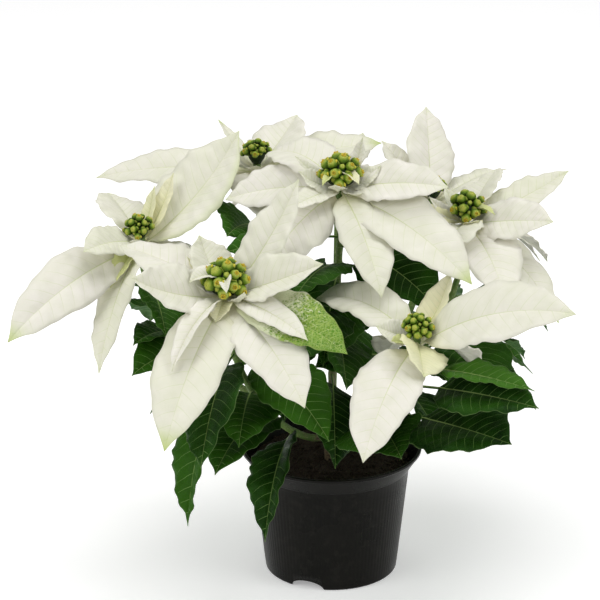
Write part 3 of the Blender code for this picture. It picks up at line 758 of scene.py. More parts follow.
def sides_of(blade, along):
    """A blade's side and up for each way that it runs."""
    heading = math.radians(blade.heading)
    roll = math.radians(blade.roll)
    level = np.array([-math.sin(heading), math.cos(heading), 0])
    side = level * math.cos(roll) + np.cross(along, level) * math.sin(roll)
    return side, np.cross(along, side)


def packed_points(root, blade, stations):
    """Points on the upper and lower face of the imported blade's midline, in millimetres."""
    along = directions(blade, np.arange(PACKED_STEPS + 1) / PACKED_STEPS)
    steps = np.vstack([np.array(root, float), along[:-1] * blade.length / PACKED_STEPS])
    centre = np.cumsum(steps, axis=0)[stations]
    lift = sides_of(blade, along)[1][stations] * PACKED_HALF_THICKNESS
    return [*(centre + lift), *(centre - lift)]


def packed_surface(node):
    """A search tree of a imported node's faces."""
    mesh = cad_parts[node].data
    points = [vert.co / MM for vert in mesh.vertices]
    faces = [tuple(face.vertices) for face in mesh.polygons]
    return BVHTree.FromPolygons(points, faces)


def find_bend(surface, root, blade, stations):
    """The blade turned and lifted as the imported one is, or None where none was packed."""
    for turn, lift in OFFSETS:
        bent = blade._replace(heading=blade.heading + turn, rise=blade.rise + lift)
        probes = packed_points(root, bent, stations)
        near = [surface.find_nearest(Vector(point), PACKED_MISS)[0] for point in probes]
        if sum(point is not None for point in near) >= len(probes) - 1:
            return bent
    return None


# How a kind of blade looks: its stalk's share of the length, its thickness, the depth of its
# midrib, bulge, waves, notches, panels and rumples, and the number, lean and curve of its veins.
Look = namedtuple(
    "Look", "stalk thickness rib bulge wave waves notches puff crumple vein_count lean curve"
)
BRACT_LOOK = Look(BRACT_STALK, 0.5, 0.6, 0.20, 1.3, 3.2, 0.022, 0.34, 0.55, 12, 0.55, 0.010)
LEAF_LOOK = Look(LEAF_STALK, 0.5, 0.8, 0.22, 1.5, 4.0, 0.030, 0.50, 0.50, 11, 0.50, 0.012)

# The points of a blade as rows and columns: columns of shares along it, grids across it.
Grid = namedtuple("Grid", "flat across out right opening half lateral reach gap phase")


def blade_grid(blade, look, shares, phases):
    """Where a blade's points lie along it and across it, and how they stand to its veins."""
    flat = np.clip((shares - look.stalk) / (1 - look.stalk), 0, 1)[:, None]
    opening = smooth(0, 0.08, flat)
    span = np.linspace(-1, 1, BLADE_COLUMNS)
    round_columns = np.sin(span * math.pi / 2)
    open_columns = np.sign(span) * np.abs(span) ** 1.7
    across = (1 - opening) * round_columns + opening * open_columns
    right = across > 0
    turns = 2 * math.pi * (flat + 0.37 * right)
    uneven = 1 + 0.03 * np.sin(2.3 * turns + 6 * phases[0])
    uneven += look.notches * np.sin(6.7 * turns + 6 * phases[1])
    half = blade_outline(flat, look.stalk) * blade.width / 2 * uneven
    half = np.maximum(half, STALK_RADIUS * (1 - 0.8 * flat))
    lateral = across * half
    distance = np.abs(lateral)
    reach = shares[:, None] * blade.length
    gap = blade.length * (1 - look.stalk) / look.vein_count
    phase = (reach - look.lean * distance - look.curve * distance**2) / gap + 0.4 * right
    out = np.abs(across)
    return Grid(flat, across, out, right, opening, half, lateral, reach, gap, phase)


def edge_wave(grid, right_waves, right_phase, left_waves, left_phase):
    """A wave along the blade that is not the same on its two sides."""
    return np.where(
        grid.right,
        np.sin(2 * math.pi * (right_waves * grid.flat + right_phase)),
        np.sin(2 * math.pi * (left_waves * grid.flat + left_phase)),
    )


def blade_height(blade, look, grid, phases):
    """Height above the midline: the cup, bulging halves, wavy edges, panels and rumples."""
    flat, out, half, opening = grid.flat, grid.out, grid.half, grid.opening
    height = np.abs(grid.lateral) * math.sin(math.radians(blade.cup)) * opening
    height += smooth(0, 0.2, flat) * opening * look.bulge * half * (out - out**2)
    waves = look.waves
    ripple = edge_wave(grid, waves, phases[1], waves * 0.85, phases[2])
    ruffle = edge_wave(grid, waves * 2.3, phases[3], waves * 2.6, phases[4])
    size = min(blade.width / 45, 1) * smooth(0, 0.15, flat) * (1 - smooth(0.85, 1, flat))
    height += size * look.wave * (out**2 * ripple + 0.45 * out**4 * ruffle)
    panel = smooth(0.04, 0.2, out) * (1 - smooth(0.7, 1.0, out))
    height += size * look.puff * panel * (1 - np.cos(2 * math.pi * grid.phase))
    rumple = np.sin(grid.reach / 2.9 + grid.lateral / 4.7 + 6 * phases[3])
    rumple = rumple * np.sin(grid.lateral / 2.3 - grid.reach / 6.1 + 6 * phases[5])
    rumple += np.sin(grid.reach / 7.3 - grid.lateral / 8.9 + 6 * phases[4])
    return height + size * look.crumple * smooth(0.05, 0.4, out) * rumple


def blade_skins(line, blade, look, grid, height):
    """The upper and the lower skin: a thin sheet with its midrib below, on a round stalk."""
    centre, side, up = (part[:, None] for part in line)
    flat, opening, lateral = grid.flat, grid.opening, grid.lateral
    slope = math.cos(math.radians(blade.cup)) * opening + (1 - opening)
    sheet = centre + side * (lateral * slope)[..., None] + up * height[..., None]
    rib = look.rib * (1 - 0.85 * flat) * opening + STALK_RADIUS * (1 - opening)
    bow = np.sqrt(np.clip(1 - (lateral / (1.15 * rib + 1e-9)) ** 2, 0, 1))
    sheet_half = look.thickness / 2 * (1 - 0.55 * grid.out**4)
    stalk_half = STALK_RADIUS * np.sqrt(np.clip(1 - grid.across**2, 0.01, 1))
    groove = 0.25 * rib * bow * smooth(0, 0.2, flat) * opening
    over = opening * (sheet_half - groove) + (1 - opening) * stalk_half
    under = opening * (sheet_half + rib * bow) + (1 - opening) * stalk_half
    return sheet + up * over[..., None], sheet - up * under[..., None]


def add_blade(shell, root, blade, look, seed, tone):
    """A thin closed blade: stalk, midrib below, panels that swell between veins, wavy edges."""
    phases = np.random.default_rng(seed).uniform(0, 1, 6)
    shares = np.concatenate([
        np.linspace(0, look.stalk, STALK_ROWS, endpoint=False),
        np.linspace(look.stalk, 1, BLADE_ROWS),
    ])
    grid = blade_grid(blade, look, shares, phases)
    height = blade_height(blade, look, grid, phases)
    skins = blade_skins(midline(root, blade, shares), blade, look, grid, height)
    vein = skin_values(grid, grid.phase, grid.gap, grid.lateral)
    upper_place = skin_values(grid, grid.out, grid.flat, 1)
    lower_place = skin_values(grid, grid.out, grid.flat, 1 - grid.opening)
    tones = skin_values(grid, *tone(grid.flat, grid.across))
    faces = sheet_faces(len(shares), BLADE_COLUMNS)
    shell.add(skins, faces, 0, (vein, vein), (upper_place, lower_place), (tones, tones))


def skin_values(grid, *three):
    """Three numbers for each point of a skin, from plain numbers, columns or grids."""
    return np.stack(np.broadcast_arrays(grid.out, *three)[1:], axis=-1)


def sheet_faces(rows, columns):
    """Faces of a closed sheet: the upper grid, the lower grid, and the edge between them."""
    faces = []
    under = rows * columns
    for i in range(rows - 1):
        for j in range(columns - 1):
            a = i * columns + j
            b = a + columns
            faces.append((a, b, b + 1, a + 1))
            faces.append((under + a, under + a + 1, under + b + 1, under + b))
    for i in range(rows - 1):
        a = i * columns
        b = a + columns
        faces.append((a, under + a, under + b, b))
        a += columns - 1
        b += columns - 1
        faces.append((a, b, under + b, under + a))
    for j in range(columns - 1):
        faces.append((j, j + 1, under + j + 1, under + j))
        a = (rows - 1) * columns + j
        faces.append((a, under + a, under + a + 1, a + 1))
    return faces


# Tones of a blade: how green, cream and tinted a bract is, or how bright and shaded a leaf is.


def bract_tone(name, tint):
    def tone(along, across):
        green = cream = 0
        tinted = tint + 0.2 * smooth(0.88, 1, along)
        if name == "tipped":
            tinted = tint + 0.7 * smooth(0.84, 1.0, along)
        elif name == "netted":
            green = 0.2 + 0.75 * smooth(0.2, 0.85, along)
            tinted = tinted + 0.25
        elif name == "cream":
            cream = 0.8 - 0.35 * along
        elif name == "lime":
            cream = 0.9
            tinted = 0.45
        elif name == "edged":
            tinted = tinted + 0.3 * smooth(0.7, 0.97, -across)
        return green, cream, tinted

    return tone


def leaf_tone(bright, shade):
    return lambda along, across: (bright, 0, shade)


# Stems and hubs.


def capped_faces(rings, sides, first, bottom, top):
    """Faces of a closed stack of rings of points, from its bottom point to its top point."""
    faces = []
    for k in range(sides):
        j = (k + 1) % sides
        faces.append((bottom, first + j, first + k))
        for low in range(first, first + (rings - 1) * sides, sides):
            faces.append((low + k, low + j, low + sides + j, low + sides + k))
        last = first + (rings - 1) * sides
        faces.append((last + k, last + j, top))
    return faces


def tube(centres, radii, sides):
    """Points and faces of a closed tube along the centres."""
    centres = np.asarray(centres, float)
    ahead = np.vstack([centres[1:], centres[-1:]])
    behind = np.vstack([centres[:1], centres[:-1]])
    along = unit(ahead - behind)
    across = np.cross((0.123, 0.456, 0.881), along[0])
    points = []
    for centre, way, radius in zip(centres, along, radii):
        across = unit(across - way * np.dot(across, way))
        third = np.cross(way, across)
        for k in range(sides):
            angle = 2 * math.pi * k / sides
            points.append(centre + radius * (across * math.cos(angle) + third * math.sin(angle)))
    points += [centres[0], centres[-1]]
    return points, capped_faces(len(centres), sides, 0, len(points) - 2, len(points) - 1)


def bark_tones(bark, sides):
    """Tones of a tube's points from how far each ring is bark, with its two end points last."""
    return np.outer(np.append(np.repeat(bark, sides), [bark[0], bark[-1]]), (1, 0, 0))


def side_stem_point(bloom, place):
    """Centre of a side stem: a Bezier curve from the main stem to under the hub."""
    hub = Vector(bloom.hub)
    end = hub - Vector((0, 0, HUB_HEIGHT + GAP))
    if bloom.stem_height is None:
        start = Vector((0, 0, STEM_TOP + GAP))
        first = start + Vector((0, 0, MIDDLE_RUN))
    else:
        out = Vector((hub.x, hub.y, 0)).normalized()
        start = out * (STEM_RADIUS + GAP) + Vector((0, 0, bloom.stem_height))
        first = start + out * OUTWARD_RUN
    second = end - Vector((0, 0, HUB_RUN))
    rest = 1 - place
    return (
        start * rest**3
        + first * (3 * rest * rest * place)
        + second * (3 * rest * place * place)
        + end * place**3
    )


def add_side_stem(shell, bloom, leaf_places, slot):
    """A side stem with a swelling at each leaf, and both its ends run into what they meet."""
    places = np.linspace(0, 1, 49)
    centres = [side_stem_point(bloom, place) for place in places]
    first = centres[0] + (centres[0] - centres[1]).normalized() * 2
    last = centres[-1] + Vector((0, 0, 1.5))
    radii = SIDE_STEM_RADIUS + (SIDE_STEM_TIP_RADIUS - SIDE_STEM_RADIUS) * places
    for place in leaf_places:
        radii += NODE_SWELLING * np.exp(-(((places - place) / 0.018) ** 2))
    radii += 1.0 * np.exp(-places / 0.02)
    radii = [radii[0] + 0.4, *radii, radii[-1]]
    bark = 0.5 * smooth(0.5, 0.0, [0, *places, 1])
    line = tube([first, *centres, last], radii, SIDE_STEM_SIDES)
    shell.add(*line, slot, tone=bark_tones(bark, SIDE_STEM_SIDES))


def add_hub(shell, bloom, slot):
    """The short ringed stalk that a bloom's bracts grow from."""
    x, y, z = bloom.hub
    levels = np.linspace(0, 1, 12)
    centres = [(x, y, z - HUB_HEIGHT + HUB_HEIGHT * level) for level in levels]
    radii = SIDE_STEM_TIP_RADIUS + 0.3 + (HUB_RADIUS - SIDE_STEM_TIP_RADIUS - 0.3) * levels
    radii = radii + 0.3 * np.sin(levels * math.pi * 6)
    shell.add(*tube(centres, radii, 18), slot)


def bract_root(bloom, blade):
    """Longer bracts leave the hub lower down."""
    depth = ROOT_DEPTH + ROOT_SPREAD * min(blade.length / LONG_BRACT, 1)
    angle = math.radians(blade.heading)
    x, y, z = bloom.hub
    out_x, out_y = ROOT_RADIUS * math.cos(angle), ROOT_RADIUS * math.sin(angle)
    return (x + out_x, y + out_y, z - depth)


# Tiny bracts that stand among a cluster's buds, from its middle.
BRACTLETS = {
    "a": (
        (-88, 50, 100, 30, 13, 30, 20),
        (-160, 50, 90, 34, 18, 30, -20),
    ),
    "c": (
        (-60, 30, 60, 30, 12, 30, 0, "cream"),
        (-125, 30, 70, 28, 10, 30, 0, "lime"),
    ),
    "d": ((-30, 30, 60, 27, 10, 30, 0, "lime"),),
}


def cluster_middle(bloom):
    return Vector(bloom.hub) + cluster_turn(bloom) @ Vector((0, 0, BUD_CENTRE))


def make_rosette(key, finishes):
    """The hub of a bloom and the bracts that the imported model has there."""
    shell = Shell()
    bloom = BLOOMS[key]
    add_hub(shell, bloom, 1)
    surface = packed_surface(f"bracts_{key}")
    for number, row in enumerate(BRACTS[key]):
        blade = Blade(*row)
        root = bract_root(bloom, blade)
        stations = [8, 24] if blade.length < SMALL_BRACT else [13, 19, 24]
        bent = find_bend(surface, root, blade, stations)
        if bent:
            seed = 100 * ord(key) + number
            tint = (seed * 37 % 10) / 70
            add_blade(shell, root, bent, BRACT_LOOK, seed, bract_tone(blade.finish, tint))
    for number, row in enumerate(BRACTLETS.get(key, ())):
        blade = Blade(*row)
        tone = bract_tone(blade.finish, 0.05)
        add_blade(shell, cluster_middle(bloom), blade, BRACT_LOOK, 50 + number, tone)
    return shell.piece(f"rosette_{key}", *finishes)


def make_foliage(key, finishes):
    """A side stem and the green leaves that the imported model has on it."""
    shell = Shell()
    bloom = BLOOMS[key]
    surface = packed_surface(f"leafy_stem_{key}")
    for number, (place, *row) in enumerate(LEAVES[key]):
        root = side_stem_point(bloom, place)
        bent = find_bend(surface, root, Blade(*row), [14, 19, 24])
        if bent:
            seed = 900 * ord(key) + number
            shade = (seed * 37 % 10) / 10
            young = 0.6 * smooth(YOUNG_FROM, YOUNG_FROM + 0.02, place)
            add_blade(shell, root, bent, LEAF_LOOK, seed, leaf_tone(young, shade))
    add_side_stem(shell, bloom, [row[0] for row in LEAVES[key]], 1)
    return shell.piece(f"foliage_{key}", *finishes)


# Buds.


def add_cup(shell, profile, lobes):
    """A closed, faintly five-lobed cup turned from (share of the bud's radius, height)."""
    points = []
    for share, height in profile[1:-1]:
        for k in range(CUP_SIDES):
            lobe = lobes * math.cos(10 * math.pi * k / CUP_SIDES) * smooth(2, 7, height)
            points.append(around(k, CUP_SIDES, share * (1 + lobe) * BUD_RADIUS, height))
    # The height tone makes each cup near black at its foot, as painted shade, and pale at its top.
    heights = [point[2] / 8 for point in points] + [0, 0.9]
    points += [(0, 0, profile[0][1]), (0, 0, profile[-1][1])]
    top = len(points) - 1
    faces = capped_faces(len(profile) - 2, CUP_SIDES, 0, top - 1, top)
    shell.add(points, faces, tone=np.outer(heights, (0, 0, 1)))


def ripe_bud():
    """An open bud at the origin, pointing up +Z: a green cup with a tuft of stamens in its
    mouth and a yellow gland on its side."""
    shell = Shell()
    profile = (
        (0.0, 0.0), (0.45, 0.0), (0.78, 0.8), (0.97, 2.0), (1.04, 3.6), (1.0, 5.2),
        (0.86, 6.6), (0.66, 7.5), (0.5, 7.8), (0.36, 7.4), (0.0, 7.0),
    )
    add_cup(shell, profile, 0.07)
    for k in range(9):
        foot = np.array(around(k, 8, 1.1 if k else 0.0, 6.8))
        head = foot * (1.25, 1.25, 1) + (0, 0, 1.2 + 0.3 * (k % 3))
        centres = [foot, (foot + head) / 2, head, head + (0, 0, 0.45)]
        shell.add(*tube(centres, (0.22, 0.26, 0.52, 0.3), 5), tone=(1, 0, 1))
    lip = [(3.5, -1.2, 5.4), (4.0, -0.7, 6.0), (4.2, 0, 6.2), (4.0, 0.7, 6.0), (3.5, 1.2, 5.4)]
    shell.add(*tube(lip, (0.45, 0.75, 0.85, 0.75, 0.45), 8), tone=(0, 1, 1))
    return shell.piece("ripe_bud")


def green_bud():
    """A bud that is still shut: a rounder cup whose five lobes meet in a rough crown."""
    shell = Shell()
    profile = (
        (0.0, 0.0), (0.45, 0.0), (0.8, 0.8), (1.0, 2.0), (1.08, 3.6), (1.04, 5.2),
        (0.88, 6.6), (0.62, 7.5), (0.36, 7.9), (0.0, 7.7),
    )
    add_cup(shell, profile, 0.09)
    for k in range(6):
        foot = np.array(around(k, 5, 1.0 if k else 0.0, 7.2))
        head = foot * (0.8, 0.8, 1) + (0, 0, 1.0)
        shell.add(*tube([foot, (foot + head) / 2, head], (0.5, 0.62, 0.35), 6), tone=(0, 0, 1.3))
    return shell.piece("green_bud")


def bud_core(bloom):
    """The knot of stalks that fills the gaps between a cluster's buds, in metres; the bud finish
    paints it near black, as painted shade between the buds.
    """
    inner = bloom.bud_reach * CLUSTER_SWELLING - BUD_LENGTH * 0.8
    foot = GAP + HUB_RADIUS * math.sin(math.radians(bloom.lean)) - BUD_CENTRE
    profile = [(0, foot), (HUB_RADIUS, foot), (0.9 * inner, 0.35 * foot)]
    for angle in np.radians(np.linspace(0, 80, 6)):
        profile.append((inner * math.cos(angle), inner * math.sin(angle)))
    profile.append((0, inner))
    return solid("bud_core", *turned(profile, 24))


def cluster_tree():
    """Sets buds on a dome by the golden angle, each pointing out from the dome's middle, with
    smaller shut ones between them and the core of stalks under them."""
    _, given, out = geometry_group(
        "bud_cluster",
        Core=SHAPE, Ripe_Bud=THING, Green_Bud=THING, Ripe_Share=0.5, Count=10, Bud_Size=1.0,
        Spread=1.4, Reach=0.016, Bud_Length=0.009, Turn_Step=2.4, Lean="NodeSocketRotation",
        Middle="NodeSocketVector", Seed=1,
    )
    chance = put(
        "FunctionNodeRandomValue", data_type="BOOLEAN",
        Probability=given["Ripe Share"], Seed=given["Seed"],
    )
    ripe = chance.outputs[3]
    shut = put("FunctionNodeBooleanMath", ripe, operation="NOT")
    count, reach = given["Count"], given["Reach"]
    low = maths("SUBTRACT", reach, SMALL_BUD_DEPTH * MM)
    rows = (
        (given["Ripe Bud"], count, reach, 0.4, 1.0, ripe),
        (given["Green Bud"], count, reach, 0.4, 1.0, shut),
        (given["Green Bud"], times(count, 2.0), low, 1.1, 0.6, None),
    )
    together = put("GeometryNodeJoinGeometry", given["Core"])
    for row in rows:
        feed(bud_ring(given, *row), together.inputs[0])
    turned_buds = put("GeometryNodeTransform", together, Rotation=given["Lean"])
    feed(given["Middle"], turned_buds.inputs["Translation"])
    return finish_shape(given, out, turned_buds)


def bud_ring(given, bud, count, reach, first, size, chosen):
    """One kind of bud, set out over the dome from its top to its edge."""
    number = put("GeometryNodeInputIndex").outputs[0]
    turn = times(maths("ADD", number, first), given["Turn Step"])
    share = maths("DIVIDE", maths("ADD", number, 0.4), count)
    polar = times(maths("SQRT", share), given["Spread"])
    level = maths("SINE", polar)
    axis = put(
        "ShaderNodeCombineXYZ",
        times(level, maths("COSINE", turn)),
        times(level, maths("SINE", turn)),
        maths("COSINE", polar),
    )
    lessening = times(maths("MODULO", number, 3.0), 0.1 * size)
    scale = times(maths("SUBTRACT", size, lessening), given["Bud Size"])
    foot = maths("SUBTRACT", reach, times(given["Bud Length"], scale))
    place = put("ShaderNodeVectorMath", axis, operation="SCALE", Scale=foot)
    return put(
        "GeometryNodeInstanceOnPoints", put("GeometryNodePoints", count, place),
        Selection=chosen,
        Instance=put("GeometryNodeObjectInfo", bud).outputs["Geometry"],
        Rotation=put("FunctionNodeAlignRotationToVector", None, None, axis, axis="Z"),
        Scale=scale,
    )


def bake(obj):
    """Puts the plain mesh that an object's modifiers make in place of them."""
    bpy.context.view_layer.update()
    graph = bpy.context.evaluated_depsgraph_get()
    made = bpy.data.meshes.new_from_object(obj.evaluated_get(graph))
    obj.modifiers.clear()
    made.name = obj.name
    obj.data = made


def grow(name, tree, seed, **values):
    """The plain mesh that a tree makes of a seed with these inputs, as a piece of that name."""
    obj = show(name, seed.data)
    modifier = obj.modifiers.new("growth", "NODES")
    modifier.node_group = tree
    for item in tree.interface.items_tree:
        label = item.name.replace(" ", "_")
        if item.in_out == "INPUT" and label in values:
            modifier[item.identifier] = values[label]
    bake(obj)
    bpy.data.objects.remove(seed)
    return obj


def cluster_turn(bloom):
    """The rotation that leans a cluster of buds the way its bloom faces."""
    facing = math.radians(bloom.facing)
    hinge = Vector((-math.sin(facing), math.cos(facing), 0))
    return Quaternion(hinge, math.radians(bloom.lean))


def make_cluster(key, tree, ripe, green, finish):
    """The dome of buds in the middle of a bloom."""
    bloom = BLOOMS[key]
    size = (bloom.bud_reach / WIDE_CLUSTER) ** BUD_SIZE_POWER
    return grow(
        f"cluster_{key}", tree, bud_core(bloom),
        Ripe_Bud=ripe,
        Green_Bud=green,
        Ripe_Share=RIPE_SHARE[key],
        Count=round(BUD_CROWDING * bloom.bud_count / min(1, size)),
        Bud_Size=BUD_SIZE * size,
        Spread=math.radians(BUD_SPREAD),
        Reach=bloom.bud_reach * CLUSTER_SWELLING * MM,
        Bud_Length=BUD_LENGTH * MM,
        Turn_Step=math.radians(GOLDEN_ANGLE),
        Lean=cluster_turn(bloom).to_euler(),
        Middle=cluster_middle(bloom) * MM,
        Seed=ord(key),
        Finish=finish,
    )


# Soil.


def make_soil_base():
    """Peat that fills the pot up to its collar, lumpy on top, as a mesh in metres."""
    inner = COLLAR_RADIUS - COLLAR_WALL
    profile = [
        (0, FLOOR_HIGH + GAP),
        (wall_radius(FLOOR_HIGH) - WALL - GAP, FLOOR_HIGH + GAP),
        (wall_radius(COLLAR_LOW) - WALL - GAP, COLLAR_LOW - 1),
        (inner - GAP, COLLAR_LOW + 1),
        (inner + 1.0, SOIL_TOP - 2.5),
    ]
    edge = inner + 0.6
    profile += [(edge * (1 - i / 26), SOIL_TOP) for i in range(26)]
    profile.append((0, SOIL_TOP))
    points, faces = turned(profile, 96)
    lumpy = []
    for x, y, z in points:
        if z == SOIL_TOP:
            radius = math.hypot(x, y)
            spot = Vector((x, y, 0))
            coarse = noise.noise(spot / 11) * 3.2
            fine = noise.noise(spot / 3.5) * 2.0 + noise.noise(spot / 1.6) * 0.9
            z += coarse + fine - 2.0 * smooth(edge - 6, edge, radius)
        lumpy.append((x, y, z))
    return solid("soil_base", lumpy, faces)


def make_crumb():
    """A rough lump of peat about one unit across, as an object."""
    profile = [(0, -0.5), (0.42, -0.3), (0.55, 0.05), (0.36, 0.4), (0, 0.5)]
    points, faces = turned(profile, 6)
    spots = [Vector(point) for point in points]
    rough = [spot * (1 + 0.5 * noise.noise(spot * 2.1)) for spot in spots]
    return solid("crumb_shape", rough, faces)


def crumb_tree():
    """Scatters crumbs over the upward faces of the soil and joins them to it."""
    _, given, out = geometry_group(
        "peat_crumbs",
        Geometry=SHAPE, Crumb=THING, Density=90000.0, Smallest=1.0, Largest=3.0, Seed=5,
    )
    chance = "FunctionNodeRandomValue"
    upward = put("ShaderNodeSeparateXYZ", put("GeometryNodeInputNormal")).outputs["Z"]
    spots = put(
        "GeometryNodeDistributePointsOnFaces", given["Geometry"],
        put("FunctionNodeCompare", upward, 0.3, operation="GREATER_THAN"),
        distribute_method="RANDOM", Density=given["Density"], Seed=given["Seed"],
    )
    turning = put(chance, None, WHOLE_TURNS, data_type="FLOAT_VECTOR", Seed=given["Seed"])
    sizing = put(
        chance, None, None, given["Smallest"], given["Largest"], data_type="FLOAT",
        Seed=given["Seed"],
    )
    crumbs = put(
        "GeometryNodeInstanceOnPoints", spots,
        Instance=put("GeometryNodeObjectInfo", given["Crumb"]).outputs["Geometry"],
        Rotation=turning.outputs[0],
        Scale=sizing.outputs[1],
    )
    paling = put(chance, data_type="FLOAT", Seed=PALING_SEED)
    few = maths("POWER", paling.outputs[1], 6.0)
    named = put(
        "GeometryNodeStoreNamedAttribute", crumbs, data_type="FLOAT_VECTOR",
        domain="INSTANCE", Name="tone", Value=put("ShaderNodeCombineXYZ", few, 0.0, 0.0),
    )
    joined = put("GeometryNodeJoinGeometry", named)
    feed(given["Geometry"], joined.inputs[0])
    return finish_shape(given, out, joined)


def make_soil(finish):
    """The peat with its crumbs, as one piece."""
    crumb = make_crumb()
    soil = grow(
        "peat_top", crumb_tree(), make_soil_base(),
        Crumb=crumb,
        Density=CRUMB_DENSITY,
        Smallest=CRUMB_SIZES[0],
        Largest=CRUMB_SIZES[1],
        Seed=CRUMB_SEED,
        Finish=finish,
    )
    bpy.data.objects.remove(crumb)
    return soil


# Pot.


def turned(profile, sides):
    """Points and faces of a solid turned about z, from the axis below to the axis above."""
    points = [(0, 0, profile[0][1])]
    for radius, height in profile[1:-1]:
        points += [around(k, sides, radius, height) for k in range(sides)]
    points.append((0, 0, profile[-1][1]))
    return points, capped_faces(len(profile) - 2, sides, 1, 0, len(points) - 1)


def arc(centre, radius, start, end, steps):
    """Points of an arc in the plane of radius and height, from one angle to another."""
    angles = [math.radians(start + (end - start) * i / steps) for i in range(steps + 1)]
    return [(centre[0] + radius * math.cos(a), centre[1] + radius * math.sin(a)) for a in angles]


def wall_radius(height):
    """Outer radius of the pot's wall under its collar."""
    share = (height - BASE_ROUNDING) / (COLLAR_LOW - BASE_ROUNDING)
    return BASE_RADIUS + (COLLAR_RADIUS - 1.2 - BASE_RADIUS) * share


def pot_profile():
    """The pot's outline from the axis below, up its outside, over its rim and down inside."""
    foot_inner = BASE_RADIUS - FOOT_WIDTH
    base_corner = (BASE_RADIUS - BASE_ROUNDING, BASE_ROUNDING)
    profile = [(0, 0), (CENTRE_PAD_RADIUS, 0), (CENTRE_PAD_RADIUS + 2, FLOOR_LOW)]
    profile += [(foot_inner, FLOOR_LOW), (foot_inner, 0.4), (foot_inner + 0.4, 0)]
    profile += arc(base_corner, BASE_ROUNDING, -90, 0, 6)
    low, high = BASE_ROUNDING + 1, COLLAR_LOW - 0.6
    profile += [(wall_radius(h), h) for h in np.linspace(low, high, 10)]
    profile += [
        (wall_radius(COLLAR_LOW) + 0.2, COLLAR_LOW),
        (COLLAR_RADIUS - 0.3, COLLAR_LOW + 0.5),
        (COLLAR_RADIUS, COLLAR_LOW + 1),
        (COLLAR_RADIUS + 0.4, COLLAR_LOW + 1.8),
        (RIM_RADIUS - 1.5, POT_HEIGHT - 3.9),
        (RIM_RADIUS - 1.2, POT_HEIGHT - 3.3),
    ]
    profile += arc((RIM_RADIUS - 0.8, POT_HEIGHT - 2.0), 0.8, -60, 0, 4)
    profile += arc((RIM_RADIUS - 0.8, POT_HEIGHT - 0.8), 0.8, 0, 90, 5)
    profile += arc((RIM_RADIUS - 1.8, POT_HEIGHT - 0.5), 0.5, 90, 180, 3)
    profile += [
        (RIM_RADIUS - 3.2, POT_HEIGHT - 3),
        (COLLAR_RADIUS - COLLAR_WALL, COLLAR_LOW + 1),
        (wall_radius(COLLAR_LOW) - WALL, COLLAR_LOW - 1),
        (wall_radius(FLOOR_HIGH) - WALL, FLOOR_HIGH),
        (0, FLOOR_HIGH),
    ]
    return profile


def rib_tree():
    """Pushes the outer wall out and in, as many times round as there are ribs."""
    _, given, out = geometry_group(
        "ribbed_wall",
        Geometry=SHAPE, Ribs=108.0, Depth=0.00014, Low=0.004, High=0.09, Inner=0.0536,
    )
    x, y, z = put("ShaderNodeSeparateXYZ", put("GeometryNodeInputPosition")).outputs
    wave = maths("COSINE", times(maths("ARCTAN2", y, x), given["Ribs"]))
    level = put("ShaderNodeCombineXYZ", x, y, 0.0)
    radius = put("ShaderNodeVectorMath", level, operation="LENGTH").outputs["Value"]
    low, high = given["Low"], given["High"]
    masks = (
        put("ShaderNodeMapRange", z, low, maths("ADD", low, 0.002)),
        put("ShaderNodeMapRange", z, high, maths("ADD", high, 0.001), 1.0, 0.0),
        put("FunctionNodeCompare", radius, given["Inner"], operation="GREATER_THAN"),
    )
    push = times(wave, given["Depth"])
    for mask in masks:
        push = times(push, mask)
    outward = put("ShaderNodeVectorMath", level, operation="NORMALIZE")
    offset = put("ShaderNodeVectorMath", outward, operation="SCALE", Scale=push)
    moved = put("GeometryNodeSetPosition", given["Geometry"], Offset=offset)
    return finish_shape(given, out, moved)


def cutter(radius, height, squash, sides, heading, distance, lying):
    """A short round bar to cut with, lying along its heading or standing."""
    points, faces = turned([(0, -height), (radius, -height), (radius, height), (0, height)], sides)
    angle = math.radians(heading)
    placed = []
    for x, y, z in points:
        if lying:
            x, y, z = z, x, y * squash
        else:
            z += (FLOOR_LOW + FLOOR_HIGH) / 2
        outward = distance + x
        placed.append((
            outward * math.cos(angle) - y * math.sin(angle),
            outward * math.sin(angle) + y * math.cos(angle),
            z,
        ))
    return solid(f"cutter_{heading}_{int(lying)}", placed, faces)


def make_pot(finish):
    """The ribbed pot, with notches through its foot and drain holes through its floor."""
    pot = grow(
        "ribbed_pot", rib_tree(), solid("pot_blank", *turned(pot_profile(), POT_SIDES)),
        Ribs=float(RIB_COUNT),
        Depth=RIB_DEPTH * MM,
        Low=RIB_LOW * MM,
        High=(COLLAR_LOW - 2) * MM,
        Inner=(wall_radius(RIB_LOW) - 0.8) * MM,
        Finish=finish,
    )
    cutters = []
    for heading in NOTCH_HEADINGS:
        squash = NOTCH_HEIGHT / (NOTCH_WIDTH / 2)
        cutters.append(cutter(NOTCH_WIDTH / 2, 10, squash, 48, heading, BASE_RADIUS, True))
        cutters.append(cutter(DRAIN_RADIUS, 4, 1, 32, heading, DRAIN_PITCH_RADIUS, False))
    for tool in cutters:
        cut = pot.modifiers.new(tool.name, "BOOLEAN")
        cut.operation = "DIFFERENCE"
        cut.solver = "MANIFOLD"
        cut.object = tool
    bake(pot)
    for tool in cutters:
        bpy.data.objects.remove(tool)
    return pot


def make_main_stem(finish):
    """The knotty main stem, barky below and greener above."""
    levels = np.linspace(STEM_FOOT, STEM_TOP, 60)
    centres = [(0, 0, level) for level in levels]
    radii = STEM_RADIUS - 0.35 + 0.3 * np.sin(levels / 4.3) ** 8
    radii[-1] -= 0.8
    points, faces = tube(centres, radii, MAIN_STEM_SIDES)
    rough = []
    for x, y, z in points:
        push = 1 + 0.05 * noise.noise(Vector((x / 2, y / 2, z / 9)))
        rough.append((x * push, y * push, z))
    bark = 0.95 - 0.25 * smooth(110, 150, levels)
    shell = Shell()
    shell.add(rough, faces, tone=bark_tones(bark, MAIN_STEM_SIDES))
    return shell.piece("bark_stem", finish)


# Studio.


